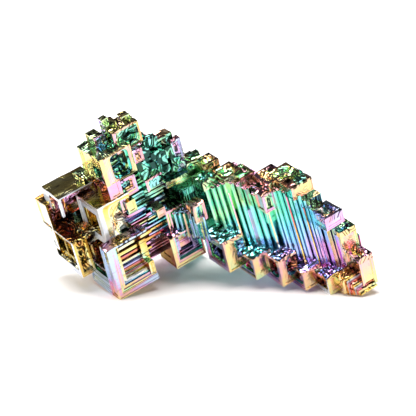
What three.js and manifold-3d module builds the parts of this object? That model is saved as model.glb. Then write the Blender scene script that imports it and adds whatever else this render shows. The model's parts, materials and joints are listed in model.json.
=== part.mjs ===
// A bismuth hopper crystal: skeletal cubes grown together in one lattice, a heap of
// large ones on the left and a long fluted wing on the right, as one solid.
//
// Every cube is laid out in the lattice's own frame, in millimetres:
// u runs right and back, v runs left and back, w runs up. The faces that show from the
// front are each cube's low-u face (left), low-v face (right) and high-w face (top).
import * as THREE from 'three';
import Module from 'manifold-3d';
import { mergeVertices } from 'three/addons/utils/BufferGeometryUtils.js';

const wasm = await Module();
wasm.setup();

// How the lattice leans as the crystal lies on a table, in degrees.
const LEAN = { x: 14.6, y: -12.2, z: 34.5 };
// Height of the lattice's zero point above the table.
const REST_HEIGHT = 16;

// Stepped hollow of a face: rim left around it, depth of its floor, stairs, tread of a stair.
const HOLLOW = { rim: 1.1, depth: 2.4, stairs: 2, tread: 0.8 };
// Length of a cut past the face that it starts from.
const PAST = 0.5;
// Every face lies on this grid, so that neighbours meet exactly or clearly apart.
const GRID = 0.1;

// Flutes of the wing's wall: one column for each stair of the wall.
const FLUTES = {
  step: 1.15,
  depth: 5.4,
  foot: -6,
  footFall: 0.8,
  heads: [5.8, 6.2, 6.6, 7, 6.4, 5, 3.8, 4, 4.5, 4.6, 4.2, 3.6, 1.5, -3, -4, -6, -9],
  small: 5,
};
// Stairs of the ladder up the heap's right side.
const LADDER = { count: 13, run: 0.36, rise: 1.6, width: 8 };

// A closed box from its lowest corner and its size, with its faces on the grid.
function box(corner, size) {
  const low = corner.map((value) => Math.round(value / GRID) * GRID);
  const high = corner.map((value, axis) => Math.round((value + size[axis]) / GRID) * GRID);
  const geometry = new THREE.BoxGeometry(...high.map((value, axis) => value - low[axis]));
  geometry.translate(...high.map((value, axis) => (value + low[axis]) / 2));
  geometry.deleteAttribute('normal');
  geometry.deleteAttribute('uv');
  const merged = mergeVertices(geometry);
  return new wasm.Manifold(new wasm.Mesh({
    numProp: 3,
    vertProperties: new Float32Array(merged.attributes.position.array),
    triVerts: new Uint32Array(merged.index.array),
  }));
}

// Joins a list of solids.
function join(solids) {
  return wasm.Manifold.union(solids);
}

// The stepped hollow of one face. A face is named by its axis and side, and its rims are
// given for the low and high side of the two axes that lie in it.
function hollow(corner, size, face, spec) {
  const { depth, stairs, tread } = { ...HOLLOW, ...spec };
  const rims = spec.rims ?? Array(4).fill(spec.rim ?? HOLLOW.rim);
  const axis = 'uvw'.indexOf(face[0]);
  const across = [0, 1, 2].filter((other) => other !== axis);
  const high = face[1] === '+';
  const cuts = [];
  for (let stair = 0; stair < stairs; stair += 1) {
    const low = [0, 0, 0];
    const span = [0, 0, 0];
    const reach = depth * (stair + 1) / stairs;
    low[axis] = high ? corner[axis] + size[axis] - reach : corner[axis] - PAST;
    span[axis] = reach + PAST;
    across.forEach((other, place) => {
      const before = rims[2 * place] + (rims[2 * place] > 0 ? tread * stair : 0);
      const after = rims[2 * place + 1] + (rims[2 * place + 1] > 0 ? tread * stair : 0);
      low[other] = corner[other] + (rims[2 * place] > 0 ? before : -PAST);
      const end = corner[other] + size[other] - (rims[2 * place + 1] > 0 ? after : -PAST);
      span[other] = end - low[other];
    });
    if (Math.min(...span) > 0) {
      cuts.push(box(low, span));
    }
  }
  return join(cuts);
}

// One skeletal cube: its lowest corner, its size and the hollows of its faces.
function cube(corner, size, hollows = {}) {
  let solid = box(corner, size);
  for (const [face, spec] of Object.entries(hollows)) {
    solid = solid.subtract(hollow(corner, size, face, spec));
  }
  return solid;
}

// The heap of large cubes on the left, with the pit between them.
function heap() {
  return [
    // lowest front cube, standing on its corner, and the low post at its right end
    cube([-24.8, -0.5, -9], [9.8, 10.9, 12.8], {
      'u-': { rims: [1.5, 1.6, 2.5, 0.9], depth: 3 },
      'v-': { rims: [2, 0, 2.2, 0], depth: 4.5, stairs: 3 },
    }),
    box([-16.4, -0.3, -7.5], [1.2, 3, 3.3]),
    // front cube above it
    cube([-22.8, 2.3, 2.6], [7.6, 8.7, 8.1], {
      'u-': { rims: [1.8, 1.5, 1.6, 1.5], depth: 4 },
      'v-': { rims: [3, 0, 0, 1.2], depth: 2.4 },
      'w+': { rim: 0.9, depth: 0.8, stairs: 1 },
    }),
    // far left cubes, the lower one with a tall post
    cube([-28.4, 6.2, -4.2], [7, 12.8, 8.8], {
      'u-': { rims: [1.6, 3, 1.6, 1.6], depth: 2.2 },
      'v-': { rims: [1, 0, 1, 1], depth: 2 },
      'w+': { rim: 1, depth: 2.4 },
    }),
    box([-28.4, 14.4, -1], [5.5, 4.4, 11.6]),
    cube([-27.4, 9, 9.2], [9.5, 7.2, 4.6], {
      'v-': { rims: [1, 0, 0, 0.8], depth: 2.4 },
      'w+': { rims: [1.4, 0, 1, 1], depth: 1.2 },
    }),
    // core behind them
    box([-23, 6, -7], [14, 9, 18]),
  ];
}

// The cubes that stand on top of the heap.
function top() {
  return [
    cube([-19.7, 1.7, 15.6], [7.4, 8.8, 6.7], {
      'u-': { rims: [1.2, 4.4, 0, 3], depth: 3 },
      'v-': { rims: [1.6, 0.9, 0.6, 1], depth: 4.4, stairs: 3 },
      'w+': { rims: [0.8, 1, 0.8, 0], depth: 1.2 },
    }),
    cube([-12.4, 1.4, 17.4], [2.2, 3, 3], { 'v-': { rim: 0.5, depth: 0.6, stairs: 1 } }),
    cube([-14.9, 3, 20.4], [6.2, 3.4, 4.3], {
      'u-': { rims: [1, 0.9, 0, 0.9], depth: 1.6, stairs: 1 },
      'v-': { rims: [0.8, 0.8, 0.2, 0.7], depth: 2 },
      'w+': { rim: 0.7, depth: 1, stairs: 1 },
    }),
    box([-14.9, 3.2, 23], [1.6, 2.6, 2.9]),
    box([-14.9, 5.4, 23], [1.4, 1.4, 3.8]),
    cube([-17.8, 5.6, 20.4], [3, 3, 4.4], { 'v-': { rim: 0.6, depth: 0.8, stairs: 1 } }),
    box([-21.4, 4.2, 13.2], [6, 7.4, 3.3]),
    cube([-17.6, 3.4, 10], [5.2, 4, 4.2], { 'v-': { rim: 0.9, depth: 1.8, stairs: 1 } }),
    cube([-6.2, 4.2, 9], [4.6, 2.6, 8], { 'w+': { rim: 0.8, depth: 0.8, stairs: 1 } }),
    cube([-2.7, 3.7, 9], [2.4, 1.6, 7], { 'v-': { rim: 0.6, depth: 0.6, stairs: 1 } }),
    box([-17, 5.4, 8], [11.5, 6, 10.3]),
    box([-9.6, 5, 8], [3.6, 4, 10.6]),
  ];
}

// The two flights of stairs that climb the right side of the heap.
function ladders() {
  const stairs = [];
  for (let n = 0; n < LADDER.count; n += 1) {
    const { run, rise, width } = LADDER;
    stairs.push(box([-23 + 0.5 * n, 0.9 + run * n, -6.6 + rise * n], [width, 7, rise]));
    if (n > 2) {
      stairs.push(box([-15.2 + 0.5 * n, 0.9 + run * n, -6.6 + rise * n], [5, 7, rise]));
    }
  }
  return stairs;
}

// The small trough between the heap and the wing: a rim with a hollow in front of it and
// one behind it, and its own short fluted wall below.
function middle() {
  const columns = [];
  for (let n = 0; n < FLUTES.small; n += 1) {
    const along = n * FLUTES.step;
    columns.push(box([-8.4 + along, 1.2 - along, -6], [6, 6, 9.2 - 0.6 * n]));
  }
  return [
    ...columns,
    cube([-9.4, 1.4, -4], [11, 10, 12.4], {
      'w+': { rims: [1.5, 0.8, 1, 2.6], depth: 3.6 },
      'v-': { rims: [0.8, 1, 7.6, 0.8], depth: 2.4 },
    }),
    cube([-10.8, 2.6, 6], [3.9, 4, 4], { 'v-': { rim: 0.7, depth: 1.2, stairs: 1 } }),
    cube([-4.9, -3.1, 0], [2.8, 2.8, 4.5], { 'v-': { rim: 0.6, depth: 0.8, stairs: 1 } }),
  ];
}

// The fluted wall of the wing, a stair of upright columns that runs right and forward.
function flutes() {
  return FLUTES.heads.map((head, n) => {
    const along = n * FLUTES.step;
    const foot = FLUTES.foot - FLUTES.footFall * n;
    return box([-0.6 + along, -1.9 - 1.1 * along, foot], [FLUTES.depth, FLUTES.depth, head - foot]);
  });
}

// The cubes along the wing's lower edge, each with the hollows that it shows.
function lowerRow() {
  return [
    cube([-10.5, -0.5, -9.4], [7.3, 6.5, 8.2], {
      'v-': { rims: [1.5, 0.9, 1.6, 1], depth: 3, stairs: 3 },
    }),
    cube([-2.9, -8.1, -11.2], [5, 7.6, 7.7], {
      'u-': { rims: [1.1, 1.1, 1.4, 1.2], depth: 2.2 },
      'v-': { rims: [2.8, 0, 2, 1.4], depth: 1.6, stairs: 1 },
    }),
    cube([0.9, -11.8, -13.5], [4.6, 7.6, 5.6], {
      'w+': { rim: 0.9, depth: 0.8, stairs: 1 },
    }),
    cube([4.6, -15.5, -15.7], [4.6, 7.6, 6.8], {
      'u-': { rims: [0.9, 3, 1.2, 1.1], depth: 1.8 },
      'v-': { rims: [1.8, 0, 1.4, 1], depth: 1.4, stairs: 1 },
      'w+': { rim: 0.9, depth: 0.8, stairs: 1 },
    }),
    cube([7.7, -18.6, -17.1], [4.6, 7.6, 5], {
      'w+': { rim: 0.9, depth: 0.8, stairs: 1 },
    }),
    cube([11.2, -22.1, -18.7], [5, 7.6, 4.6], {
      'u-': { rims: [0.7, 3, 0.9, 0.8], depth: 1.2, stairs: 1 },
      'w+': { rim: 0.9, depth: 0.8, stairs: 1 },
    }),
    box([13.3, -24.3, -18.4], [4.4, 7, 3.6]),
    box([15, -26, -18.5], [4, 7, 3.4]),
    box([17.2, -28.2, -18.4], [2, 6, 3]),
  ];
}

// The cubes along the wing's upper edge and round its right end.
function upperRow() {
  const rimmed = [
    [[-1.1, -2.4, 5.8], [4.4, 3.9, 2.2]],
    [[2.6, -5.1, 0], [4.6, 4.6, 8.1]],
    [[5.6, -6.4, 0], [3.4, 4.8, 7]],
    [[7.1, -11.1, -3], [5, 6, 7.7]],
    [[8.8, -11.3, -4], [5, 5.5, 10.1]],
    [[10.7, -13.2, -5], [5.1, 5, 11.4]],
    [[13.9, -21.4, -4.2], [4.7, 5.3, 3]],
    [[16.3, -22.3, -14], [4, 5, 8.3]],
    [[17, -26, -18.7], [3.6, 6, 7.5]],
    [[1.2, -0.2, 4], [3.8, 3.6, 5.8]],
    [[-1.2, 2.2, 4], [4.1, 2.8, 6.7]],
    [[-3.4, 4.4, 4], [4.1, 2.8, 7.1]],
  ];
  return [
    ...rimmed.map(([corner, size]) => cube(corner, size, {
      'w+': { rim: 0.8, depth: 0.7, stairs: 1 },
    })),
    box([11.2, -15.9, 2.6], [5.2, 5, 3.1]),
    box([13.6, -18.1, -5], [3, 5, 4.9]),
    cube([6.3, -12.3, 0.5], [3, 3, 4.5], { 'v-': { rim: 0.6, depth: 0.6, stairs: 1 } }),
  ];
}

// The cubes that back the heap and the wing, and the one that stands under their middle.
function rear() {
  const backHollows = { 'u+': { rim: 1.4, depth: 2 }, 'v+': { rim: 1.4, depth: 2 } };
  const wing = [];
  for (let n = 0; n < 4; n += 1) {
    wing.push(cube([2.4 + 3.3 * n, 0.6 - 3.4 * n, -9 - 1.9 * n], [5.2, 5.2, 6], backHollows));
  }
  return [
    ...wing,
    cube([-5.4, 9.4, -16.6], [7, 6, 10], backHollows),
    cube([-10, 6.5, -9], [10, 8, 12], backHollows),
    cube([-19, 9, -8.5], [9, 8.5, 9.5], backHollows),
    cube([-16, 9, 1], [9, 7.5, 10], backHollows),
    cube([-24, 12.5, -2], [8, 6.5, 9], backHollows),
    cube([-13, 7, 9], [7, 5, 8], backHollows),
  ];
}

const grown = join([
  ...heap(), ...top(), ...ladders(), ...middle(), ...flutes(), ...lowerRow(), ...upperRow(),
  ...rear(),
]);

// The mesh of a solid, flat faced.
function meshOf(manifold, name, material) {
  const { vertProperties, triVerts, numProp } = manifold.getMesh();
  const geometry = new THREE.BufferGeometry();
  const positions = new Float32Array(vertProperties.length / numProp * 3);
  for (let vertex = 0; vertex < positions.length / 3; vertex += 1) {
    positions.set(vertProperties.subarray(vertex * numProp, vertex * numProp + 3), vertex * 3);
  }
  geometry.setAttribute('position', new THREE.BufferAttribute(positions, 3));
  geometry.setIndex(new THREE.BufferAttribute(new Uint32Array(triVerts), 1));
  const mesh = new THREE.Mesh(geometry, material);
  mesh.name = name;
  return mesh;
}

const bismuth = new THREE.MeshStandardMaterial({
  color: 0x9fb7b4, metalness: 1, roughness: 0.25, flatShading: true,
});

// The table plane cuts the lowest corners flat, where the crystal has been worn to rest.
const lean = new THREE.Euler(...['x', 'y', 'z'].map((axis) => THREE.MathUtils.degToRad(LEAN[axis])));
const turn = new THREE.Matrix4().makeRotationFromEuler(lean);
const lift = new THREE.Matrix4().makeTranslation(0, 0, REST_HEIGHT).multiply(turn);
const leaning = grown.transform(lift.elements);
const { min, max } = leaning.boundingBox();
const above = box([min[0] - 1, min[1] - 1, 0], [max[0] - min[0] + 2, max[1] - min[1] + 2, max[2] + 1]);
const standing = leaning.intersect(above)
  .translate([-(min[0] + max[0]) / 2, -(min[1] + max[1]) / 2, 0]);

const part = new THREE.Group();
part.add(meshOf(standing, 'bismuth_crystal', bismuth));

export default part;
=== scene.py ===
"""A bismuth hopper crystal on a white table.

Skeletal cubes have grown together in one lattice: a heap of large ones on the left with a crown on
top, a ladder of stairs up its right side, a small trough beside it, and a long fluted wing on the
right. Small cubes, darkened with painted shade, fill the gaps. Every cube is a block whose faces
are cut by stepped hollows, and all of them are joined to one closed skin. An oxide film of
changing thickness gives the metal its colours, and painted shade darkens its fine steps and hollows.

Lengths are millimetres in the lattice and in the shells, and metres in the finished mesh.
"""

import json
import logging
import math
from dataclasses import dataclass, field
from enum import Enum

import bpy
import numpy as np
from mathutils import Euler, Matrix, Vector

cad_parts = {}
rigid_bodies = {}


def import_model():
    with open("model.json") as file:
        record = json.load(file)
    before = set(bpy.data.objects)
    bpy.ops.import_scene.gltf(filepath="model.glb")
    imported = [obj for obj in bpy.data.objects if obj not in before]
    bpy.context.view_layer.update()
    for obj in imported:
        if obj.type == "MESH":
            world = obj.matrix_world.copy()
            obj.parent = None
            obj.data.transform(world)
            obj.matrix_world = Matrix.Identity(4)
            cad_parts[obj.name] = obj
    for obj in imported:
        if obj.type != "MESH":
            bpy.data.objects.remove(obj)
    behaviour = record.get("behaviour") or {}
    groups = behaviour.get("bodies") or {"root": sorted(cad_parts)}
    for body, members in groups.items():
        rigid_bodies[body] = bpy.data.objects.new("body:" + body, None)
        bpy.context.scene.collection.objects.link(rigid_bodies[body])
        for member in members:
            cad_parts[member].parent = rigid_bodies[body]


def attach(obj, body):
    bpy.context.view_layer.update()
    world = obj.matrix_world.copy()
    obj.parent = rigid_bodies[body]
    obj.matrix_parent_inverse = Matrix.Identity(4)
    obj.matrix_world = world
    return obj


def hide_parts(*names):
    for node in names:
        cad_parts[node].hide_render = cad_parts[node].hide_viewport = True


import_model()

LOG = logging.getLogger("bismuth")
NODE = "bismuth_crystal"
MM = 0.001
# Edges that bend by more than this stay sharp.
SHARP_DEG = 38.0
# Length of a cut past the face that it starts from.
PAST = 0.6
# Share of the faces that look up which fine steps take up, where nothing else sets it. The steps carry a
# bump and painted shade that darkens their colour.
UPPER_RELIEF_AND_SHADE = 0.5

Rng = np.random.Generator
Socket = bpy.types.NodeSocket
Pair = tuple[float, float]
Triple = tuple[float, float, float]
PointsAndFaces = tuple[np.ndarray, list[list[int]]]


class Face(Enum):
    """The six faces of a cube: the lattice axis that each looks along, and its side."""

    LEFT = (0, -1)
    REAR_RIGHT = (0, 1)
    RIGHT = (1, -1)
    REAR_LEFT = (1, 1)
    UNDER = (2, -1)
    TOP = (2, 1)

    @property
    def axis(self) -> int:
        """The lattice axis that the face looks along."""
        return self.value[0]

    @property
    def side(self) -> int:
        """1 at the high end of that axis and -1 at the low end."""
        return self.value[1]

    @property
    def across(self) -> list[int]:
        """The two axes that lie in the face."""
        return [other for other in range(3) if other != self.axis]


class Film(Enum):
    """Places on the scale of film colours, from the bare metal to the thickest film."""

    SILVER = 0.02
    CREAM = 0.10
    STRAW = 0.17
    GOLD = 0.23
    BRONZE = 0.28
    RED = 0.33
    MAGENTA = 0.385
    VIOLET = 0.435
    BLUE = 0.48
    SKY = 0.53
    TURQUOISE = 0.585
    TEAL = 0.635
    GREEN = 0.68
    LIME = 0.75
    YELLOW = 0.80
    PEACH = 0.85
    PINK = 0.905
    LILAC = 0.95
    ICE = 0.985


class Cut(Enum):
    """How a closed mesh is combined with others."""

    REMOVE = "DIFFERENCE"
    JOIN = "UNION"
    KEEP_COMMON = "INTERSECT"


@dataclass(frozen=True)
class Lattice:
    """The frame that every cube is laid out in, and how it leans as the crystal lies."""

    lean_deg: Triple = (14.6, -12.2, 34.5)
    zero_mm: Triple = (0.279, -1.811, 16.0)

    def turn(self) -> Matrix:
        """The rotation from lattice axes to the axes of the frame."""
        x, y, z = (math.radians(angle) for angle in self.lean_deg)
        return Matrix.Rotation(x, 3, "X") @ Matrix.Rotation(y, 3, "Y") @ Matrix.Rotation(z, 3, "Z")

    def place(self, points: np.ndarray) -> np.ndarray:
        """Turns and lifts lattice points into the frame, in millimetres.

        Args:
            points: Rows of (u, v, w).

        Returns:
            Rows of (x, y, z).
        """
        return points @ np.array(self.turn()).T + np.array(self.zero_mm)


@dataclass(frozen=True)
class FilmField:
    """Smooth part of the film's thickness: thickest in the middle of the top, thinner outwards.

    The way from the middle is the depth below it plus the distance to its right. The value falls
    in proportion to what that way is longer than a free stretch. The fall is steep and starts
    early in the heap, and it is gentle and starts late in the wing. Only a share of the fall is
    left in the outer part of the heap.

    Attributes:
        middle_mm: x and z of the place where the film is thickest.
        thickest: The value there.
        heap_to_wing_mm: The two x between which the heap's fall turns into the wing's.
        slope: Fall for each millimetre, in the heap and in the wing.
        free_mm: Length of the free stretch, in the heap and in the wing.
        outer_heap_mm: The two x between which the outer share turns into the whole fall.
        outer_share: Share of the fall at these two.
    """

    middle_mm: Pair = (1.5, 25.0)
    thickest: float = 0.67
    heap_to_wing_mm: Pair = (-13.0, -4.0)
    slope: Pair = (0.022, 0.0082)
    free_mm: Pair = (1.5, 12.0)
    outer_heap_mm: Pair = (-25.0, -18.0)
    outer_share: Pair = (0.4, 1.0)

    def at(self, points: np.ndarray) -> np.ndarray:
        """The field at points of the frame, in millimetres.

        Args:
            points: Rows of (x, y, z).

        Returns:
            One value for each row.
        """
        x, z = points[:, 0], points[:, 2]
        way = np.maximum(self.middle_mm[1] - z, 0) + np.maximum(x - self.middle_mm[0], 0)
        slope = np.interp(x, self.heap_to_wing_mm, self.slope)
        slope = slope * np.interp(x, self.outer_heap_mm, self.outer_share)
        free = np.interp(x, self.heap_to_wing_mm, self.free_mm)
        return self.thickest - slope * np.maximum(way - free, 0)


@dataclass
class Shell:
    """A closed mesh as arrays, with what the finish needs for each face.

    Attributes:
        points: Rows of (u, v, w) or (x, y, z).
        faces: Point numbers of each face.
        film: Film value that is added to the smooth field, for each face.
        relief: Share of the face that fine steps take up, for each face; it sets their bump and the painted
            shade that darkens their colour.
        streak: 0 for steps that swirl, 1 for upright ones and -1 for level ones, for each face.
    """

    points: np.ndarray
    faces: list[list[int]]
    film: np.ndarray
    relief: np.ndarray
    streak: np.ndarray

    def outward(self) -> "Shell":
        """The shell with its faces turned to point out, by the sign of its volume."""
        points = self.points - self.points.mean(axis=0)
        fans = [(face[0], face[k], face[k + 1]) for face in self.faces for k in range(1, len(face) - 1)]
        a, b, c = (points[corner] for corner in np.array(fans).T)
        if np.einsum("ij,ij->i", a, np.cross(b, c)).sum() < 0:
            self.faces = [face[::-1] for face in self.faces]
        return self


def carried(rings: np.ndarray) -> PointsAndFaces:
    """The closed solid that a ring of points sweeps as it is carried along a path.

    Face (r, n) joins points n and n + 1 of ring r to the same points of ring r + 1, and the
    first and last ring are closed by flat faces.

    Args:
        rings: Points as (ring, place in the ring, axis).

    Returns:
        The points as rows, and the faces.
    """
    count, around = rings.shape[:2]
    ring, place = np.meshgrid(np.arange(count - 1), np.arange(around), indexing="ij")
    after = (place + 1) % around
    corners = [ring * around + place, ring * around + after]
    corners += [(ring + 1) * around + after, (ring + 1) * around + place]
    sides = np.stack(corners, axis=-1).reshape(-1, 4).tolist()
    first = list(range(around))[::-1]
    last = list(range((count - 1) * around, count * around))
    return rings.reshape(-1, 3), sides + [first, last]


def swept(rings: np.ndarray, film: np.ndarray, relief: float | np.ndarray, streak: float) -> Shell:
    """The closed shell that rings carry along a path.

    Args:
        rings: Points as (ring, place in the ring, axis).
        film: Film value of each face.
        relief: Share of fine steps, with their bump and painted shade, for all faces or for each.
        streak: Direction of the fine steps.

    Returns:
        The shell.
    """
    points, faces = carried(rings)
    count = len(faces)
    return Shell(points, faces, film, np.full(count, relief), np.full(count, streak)).outward()


def rim_path(low: np.ndarray, high: np.ndarray, radius: np.ndarray, per_corner: int) -> np.ndarray:
    """Rectangles with round corners, one for each ring.

    A point is the corner's own centre plus the radius times (cos t, sin t), where t runs over a
    quarter turn at each of the four corners. The radius is held under half of the shorter side.

    Args:
        low: Lowest corner of each rectangle, as (ring, 2).
        high: Highest corner of each rectangle, as (ring, 2).
        radius: Corner radius of each ring.
        per_corner: Points on a corner, 1 for a sharp one.

    Returns:
        Points as (ring, place, 2).
    """
    sides = np.array([[1, 1], [-1, 1], [-1, -1], [1, -1]])
    if per_corner == 1:
        quarter = np.array([math.pi / 4])
        radius = radius * 0
    else:
        quarter = np.linspace(0, math.pi / 2, per_corner)
    turn = (np.arange(4)[:, None] * math.pi / 2 + quarter).reshape(-1)
    sides = np.repeat(sides, per_corner, axis=0)
    inside = np.minimum(radius, (high - low).min(axis=1) * 0.45)[:, None, None]
    centre = np.where(sides[None] > 0, high[:, None] - inside, low[:, None] + inside)
    return centre + inside * np.stack([np.cos(turn), np.sin(turn)], axis=-1)[None]


def square(low: np.ndarray, high: np.ndarray) -> np.ndarray:
    """The two square rings of a block, one at its foot and one at its top.

    Args:
        low: Its lowest corner.
        high: Its highest corner.

    Returns:
        Points as (ring, place in the ring, axis).
    """
    path = rim_path(low[None, :2], high[None, :2], np.zeros(1), 1)[0]
    return np.stack([np.column_stack([path, np.full(4, z)]) for z in (low[2], high[2])])


def waves(u: np.ndarray, v: np.ndarray, grain: float, rng: Rng, lay: float | None = None) -> np.ndarray:
    """Waves with long bent crests over (u, v).

    The value is the sum of three sines of nearly the same direction, each with its phase swayed
    by a slower sine across it, moved to the range of 0 to 1.

    Args:
        u: First coordinate of each point.
        v: Second coordinate.
        grain: Mean distance between crests.
        rng: Source of the directions and phases.
        lay: Direction across the crests, in radians from u; left out for a random one.

    Returns:
        A value of 0 to 1 for each point.
    """
    total = np.zeros_like(u)
    spread, sway = (0.5, 2.2) if lay is None else (0.15, 0.9)
    lay = rng.uniform(0, 2 * math.pi) if lay is None else lay
    for _ in range(3):
        phase, bend = rng.uniform(0, 2 * math.pi, 2)
        angle = lay + rng.normal(0, spread)
        rate = 2 * math.pi / grain * rng.uniform(0.6, 1.2)
        along = np.cos(angle) * u + np.sin(angle) * v
        beside = np.cos(angle) * v - np.sin(angle) * u
        total += np.sin(rate * along + phase + sway * np.sin(0.4 * rate * beside + bend))
    return np.clip(0.5 + total / 4.5, 0, 1)


def slab(u: np.ndarray, v: np.ndarray, height: np.ndarray, floor: float) -> PointsAndFaces:
    """A closed slab whose top is a height over a grid, with upright sides and a flat floor.

    Args:
        u: First coordinate of the grid's points.
        v: Second coordinate.
        height: Height of the top over each point.
        floor: Height of the floor.

    Returns:
        The points as rows, and the faces: the top's cells first, then sides and floor.
    """
    rows, columns = u.shape
    number = np.arange(rows * columns).reshape(rows, columns)
    cells = [number[:-1, :-1], number[1:, :-1], number[1:, 1:], number[:-1, 1:]]
    top = np.stack(cells, axis=-1).reshape(-1, 4)
    border = np.concatenate([number[:-1, 0], number[-1, :-1], number[:0:-1, -1], number[0, :0:-1]])
    below = rows * columns + np.arange(len(border))
    sides = np.stack([np.roll(border, -1), border, below, np.roll(below, -1)], axis=-1)
    points = np.stack([u, v, height], axis=-1).reshape(-1, 3)
    foot = points[border].copy()
    foot[:, 2] = floor
    faces = top.tolist() + sides.tolist() + [below[::-1].tolist()]
    return np.concatenate([points, foot]), faces


@dataclass(frozen=True)
class Hollow:
    """The stepped hollow of one face, inside nested bands on its rim.

    Attributes:
        rims: Width left at the low and high side of the two axes in the face; 0 is open.
        depth: Depth of the floor, 0 for a face that only has its bands.
        rise: Mean height of a stair.
        tread: Mean width of a stair.
        round_by: Growth of the corner radius with each stair.
        bars: Thin bars left standing across the hollow.
        ledges: Thin plates that stand out from its walls.
        bands: Number of shallow bands on the rim.
        play: Difference in film between neighbouring bands or stairs.
        fade: Number of bands over which the inner colour and the painted shade of the floor come in.
    """

    rims: tuple[float, float, float, float] = (1.1, 1.1, 1.1, 1.1)
    depth: float = 2.4
    rise: float = 0.42
    tread: float = 0.32
    round_by: float = 0.0
    bars: int = 0
    ledges: int = 3
    bands: int = 3
    play: float = 0.02
    fade: int = 2


def even(rim: float, depth: float, ledges: int = 3) -> Hollow:
    """A hollow with the same rim on all four sides.

    Args:
        rim: Width of the rim.
        depth: Depth of the floor.
        ledges: Thin plates that stand out from its walls.

    Returns:
        The hollow.
    """
    return Hollow((rim,) * 4, depth, ledges=ledges)


class TopStyle(Enum):
    """How the top of a cube has grown: flat, crumpled, or crumpled inside a raised rim."""

    FLAT = "flat"
    CRUMPLED = "crumpled"
    RIMMED = "rimmed"


@dataclass(frozen=True)
class Top:
    """The top of a cube.

    Attributes:
        style: How it has grown.
        rim: Width of the raised rim.
        depth: Depth of the floor inside the rim.
        swell: Height of the crumples.
        grain: Distance between crumples.
        relief: Share of it that fine steps take up, darkened with painted shade.
        lay: Direction across the crumples, in radians from u; left out for a random one.
    """

    style: TopStyle = TopStyle.CRUMPLED
    rim: float = 0.75
    depth: float = 0.7
    swell: float = 0.34
    grain: float = 4.4
    relief: float = 0.34
    lay: float | None = None


FLAT = Top(TopStyle.FLAT)
RIMMED = Top(TopStyle.RIMMED)
# A top that is mostly fine steps, darkened with painted shade.
DARK = Top(relief=0.8, swell=0.3, grain=4.2)
# A nearly smooth top, which is dark where it mirrors the dark part of the room.
SLICK = Top(swell=0.16, grain=5.0, relief=0.12)
# Crumples that run along the cube's right face, as low ledges.
LEDGED = Top(swell=0.55, grain=1.7, lay=math.pi / 2)


@dataclass
class Crystal:
    """One skeletal cube, or a plain block where it has no hollows.

    Attributes:
        corner: Lowest corner in the lattice.
        size: Size along u, v and w.
        hollows: Hollow of each face that has one.
        coats: Film colour of the outside of a face at the cube's middle.
        inside: Film colour of the hollows at the cube's middle.
        skin: Film colour of every face that has no coat of its own.
        top: How the top has grown.
        streak: 0 for fine steps that swirl, 1 for upright ones and -1 for level ones.
        tilt: Largest turn away from the lattice, in degrees.
        crumbs: Small blocks that stand on the top.
        banded: Whether plain faces get bands as well.
        relief: Share of the outer faces that fine steps take up, darkened with painted shade.
        hollow_shade: The same share at the floor of a hollow, which gives the hollow its painted shade.
        batter: Slope by which the cube spreads towards its foot on the right side.
    """

    corner: Triple
    size: Triple
    hollows: dict[Face, Hollow] = field(default_factory=dict)
    coats: dict[Face, Film] = field(default_factory=dict)
    inside: Film | None = None
    skin: Film | None = None
    top: Top = Top()
    streak: float = 0.0
    tilt: float = 1.0
    crumbs: int = 0
    banded: bool = True
    relief: float = 0.03
    hollow_shade: float = 0.62
    batter: float = 0.0

    def box(self) -> tuple[np.ndarray, np.ndarray]:
        """Its lowest and its highest corner."""
        low = np.array(self.corner)
        return low, low + np.array(self.size)

    def middle(self) -> np.ndarray:
        """The point halfway between the two."""
        return np.array(self.corner) + np.array(self.size) / 2

    def headroom(self) -> float:
        """Height of the uneven layer that makes up its top."""
        if self.top.style is TopStyle.FLAT:
            return 0.0
        return self.top.swell + (self.top.depth if self.top.style is TopStyle.RIMMED else 0.0)

    def worked_faces(self) -> dict[Face, Hollow]:
        """Its hollows, and bands alone on its other upright faces."""
        worked = dict(self.hollows)
        if self.banded:
            rim = 0.36 * min(self.size)
            for face in (Face.LEFT, Face.RIGHT, Face.REAR_LEFT, Face.REAR_RIGHT):
                worked.setdefault(face, even(rim, 0.0))
        return worked


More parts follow.
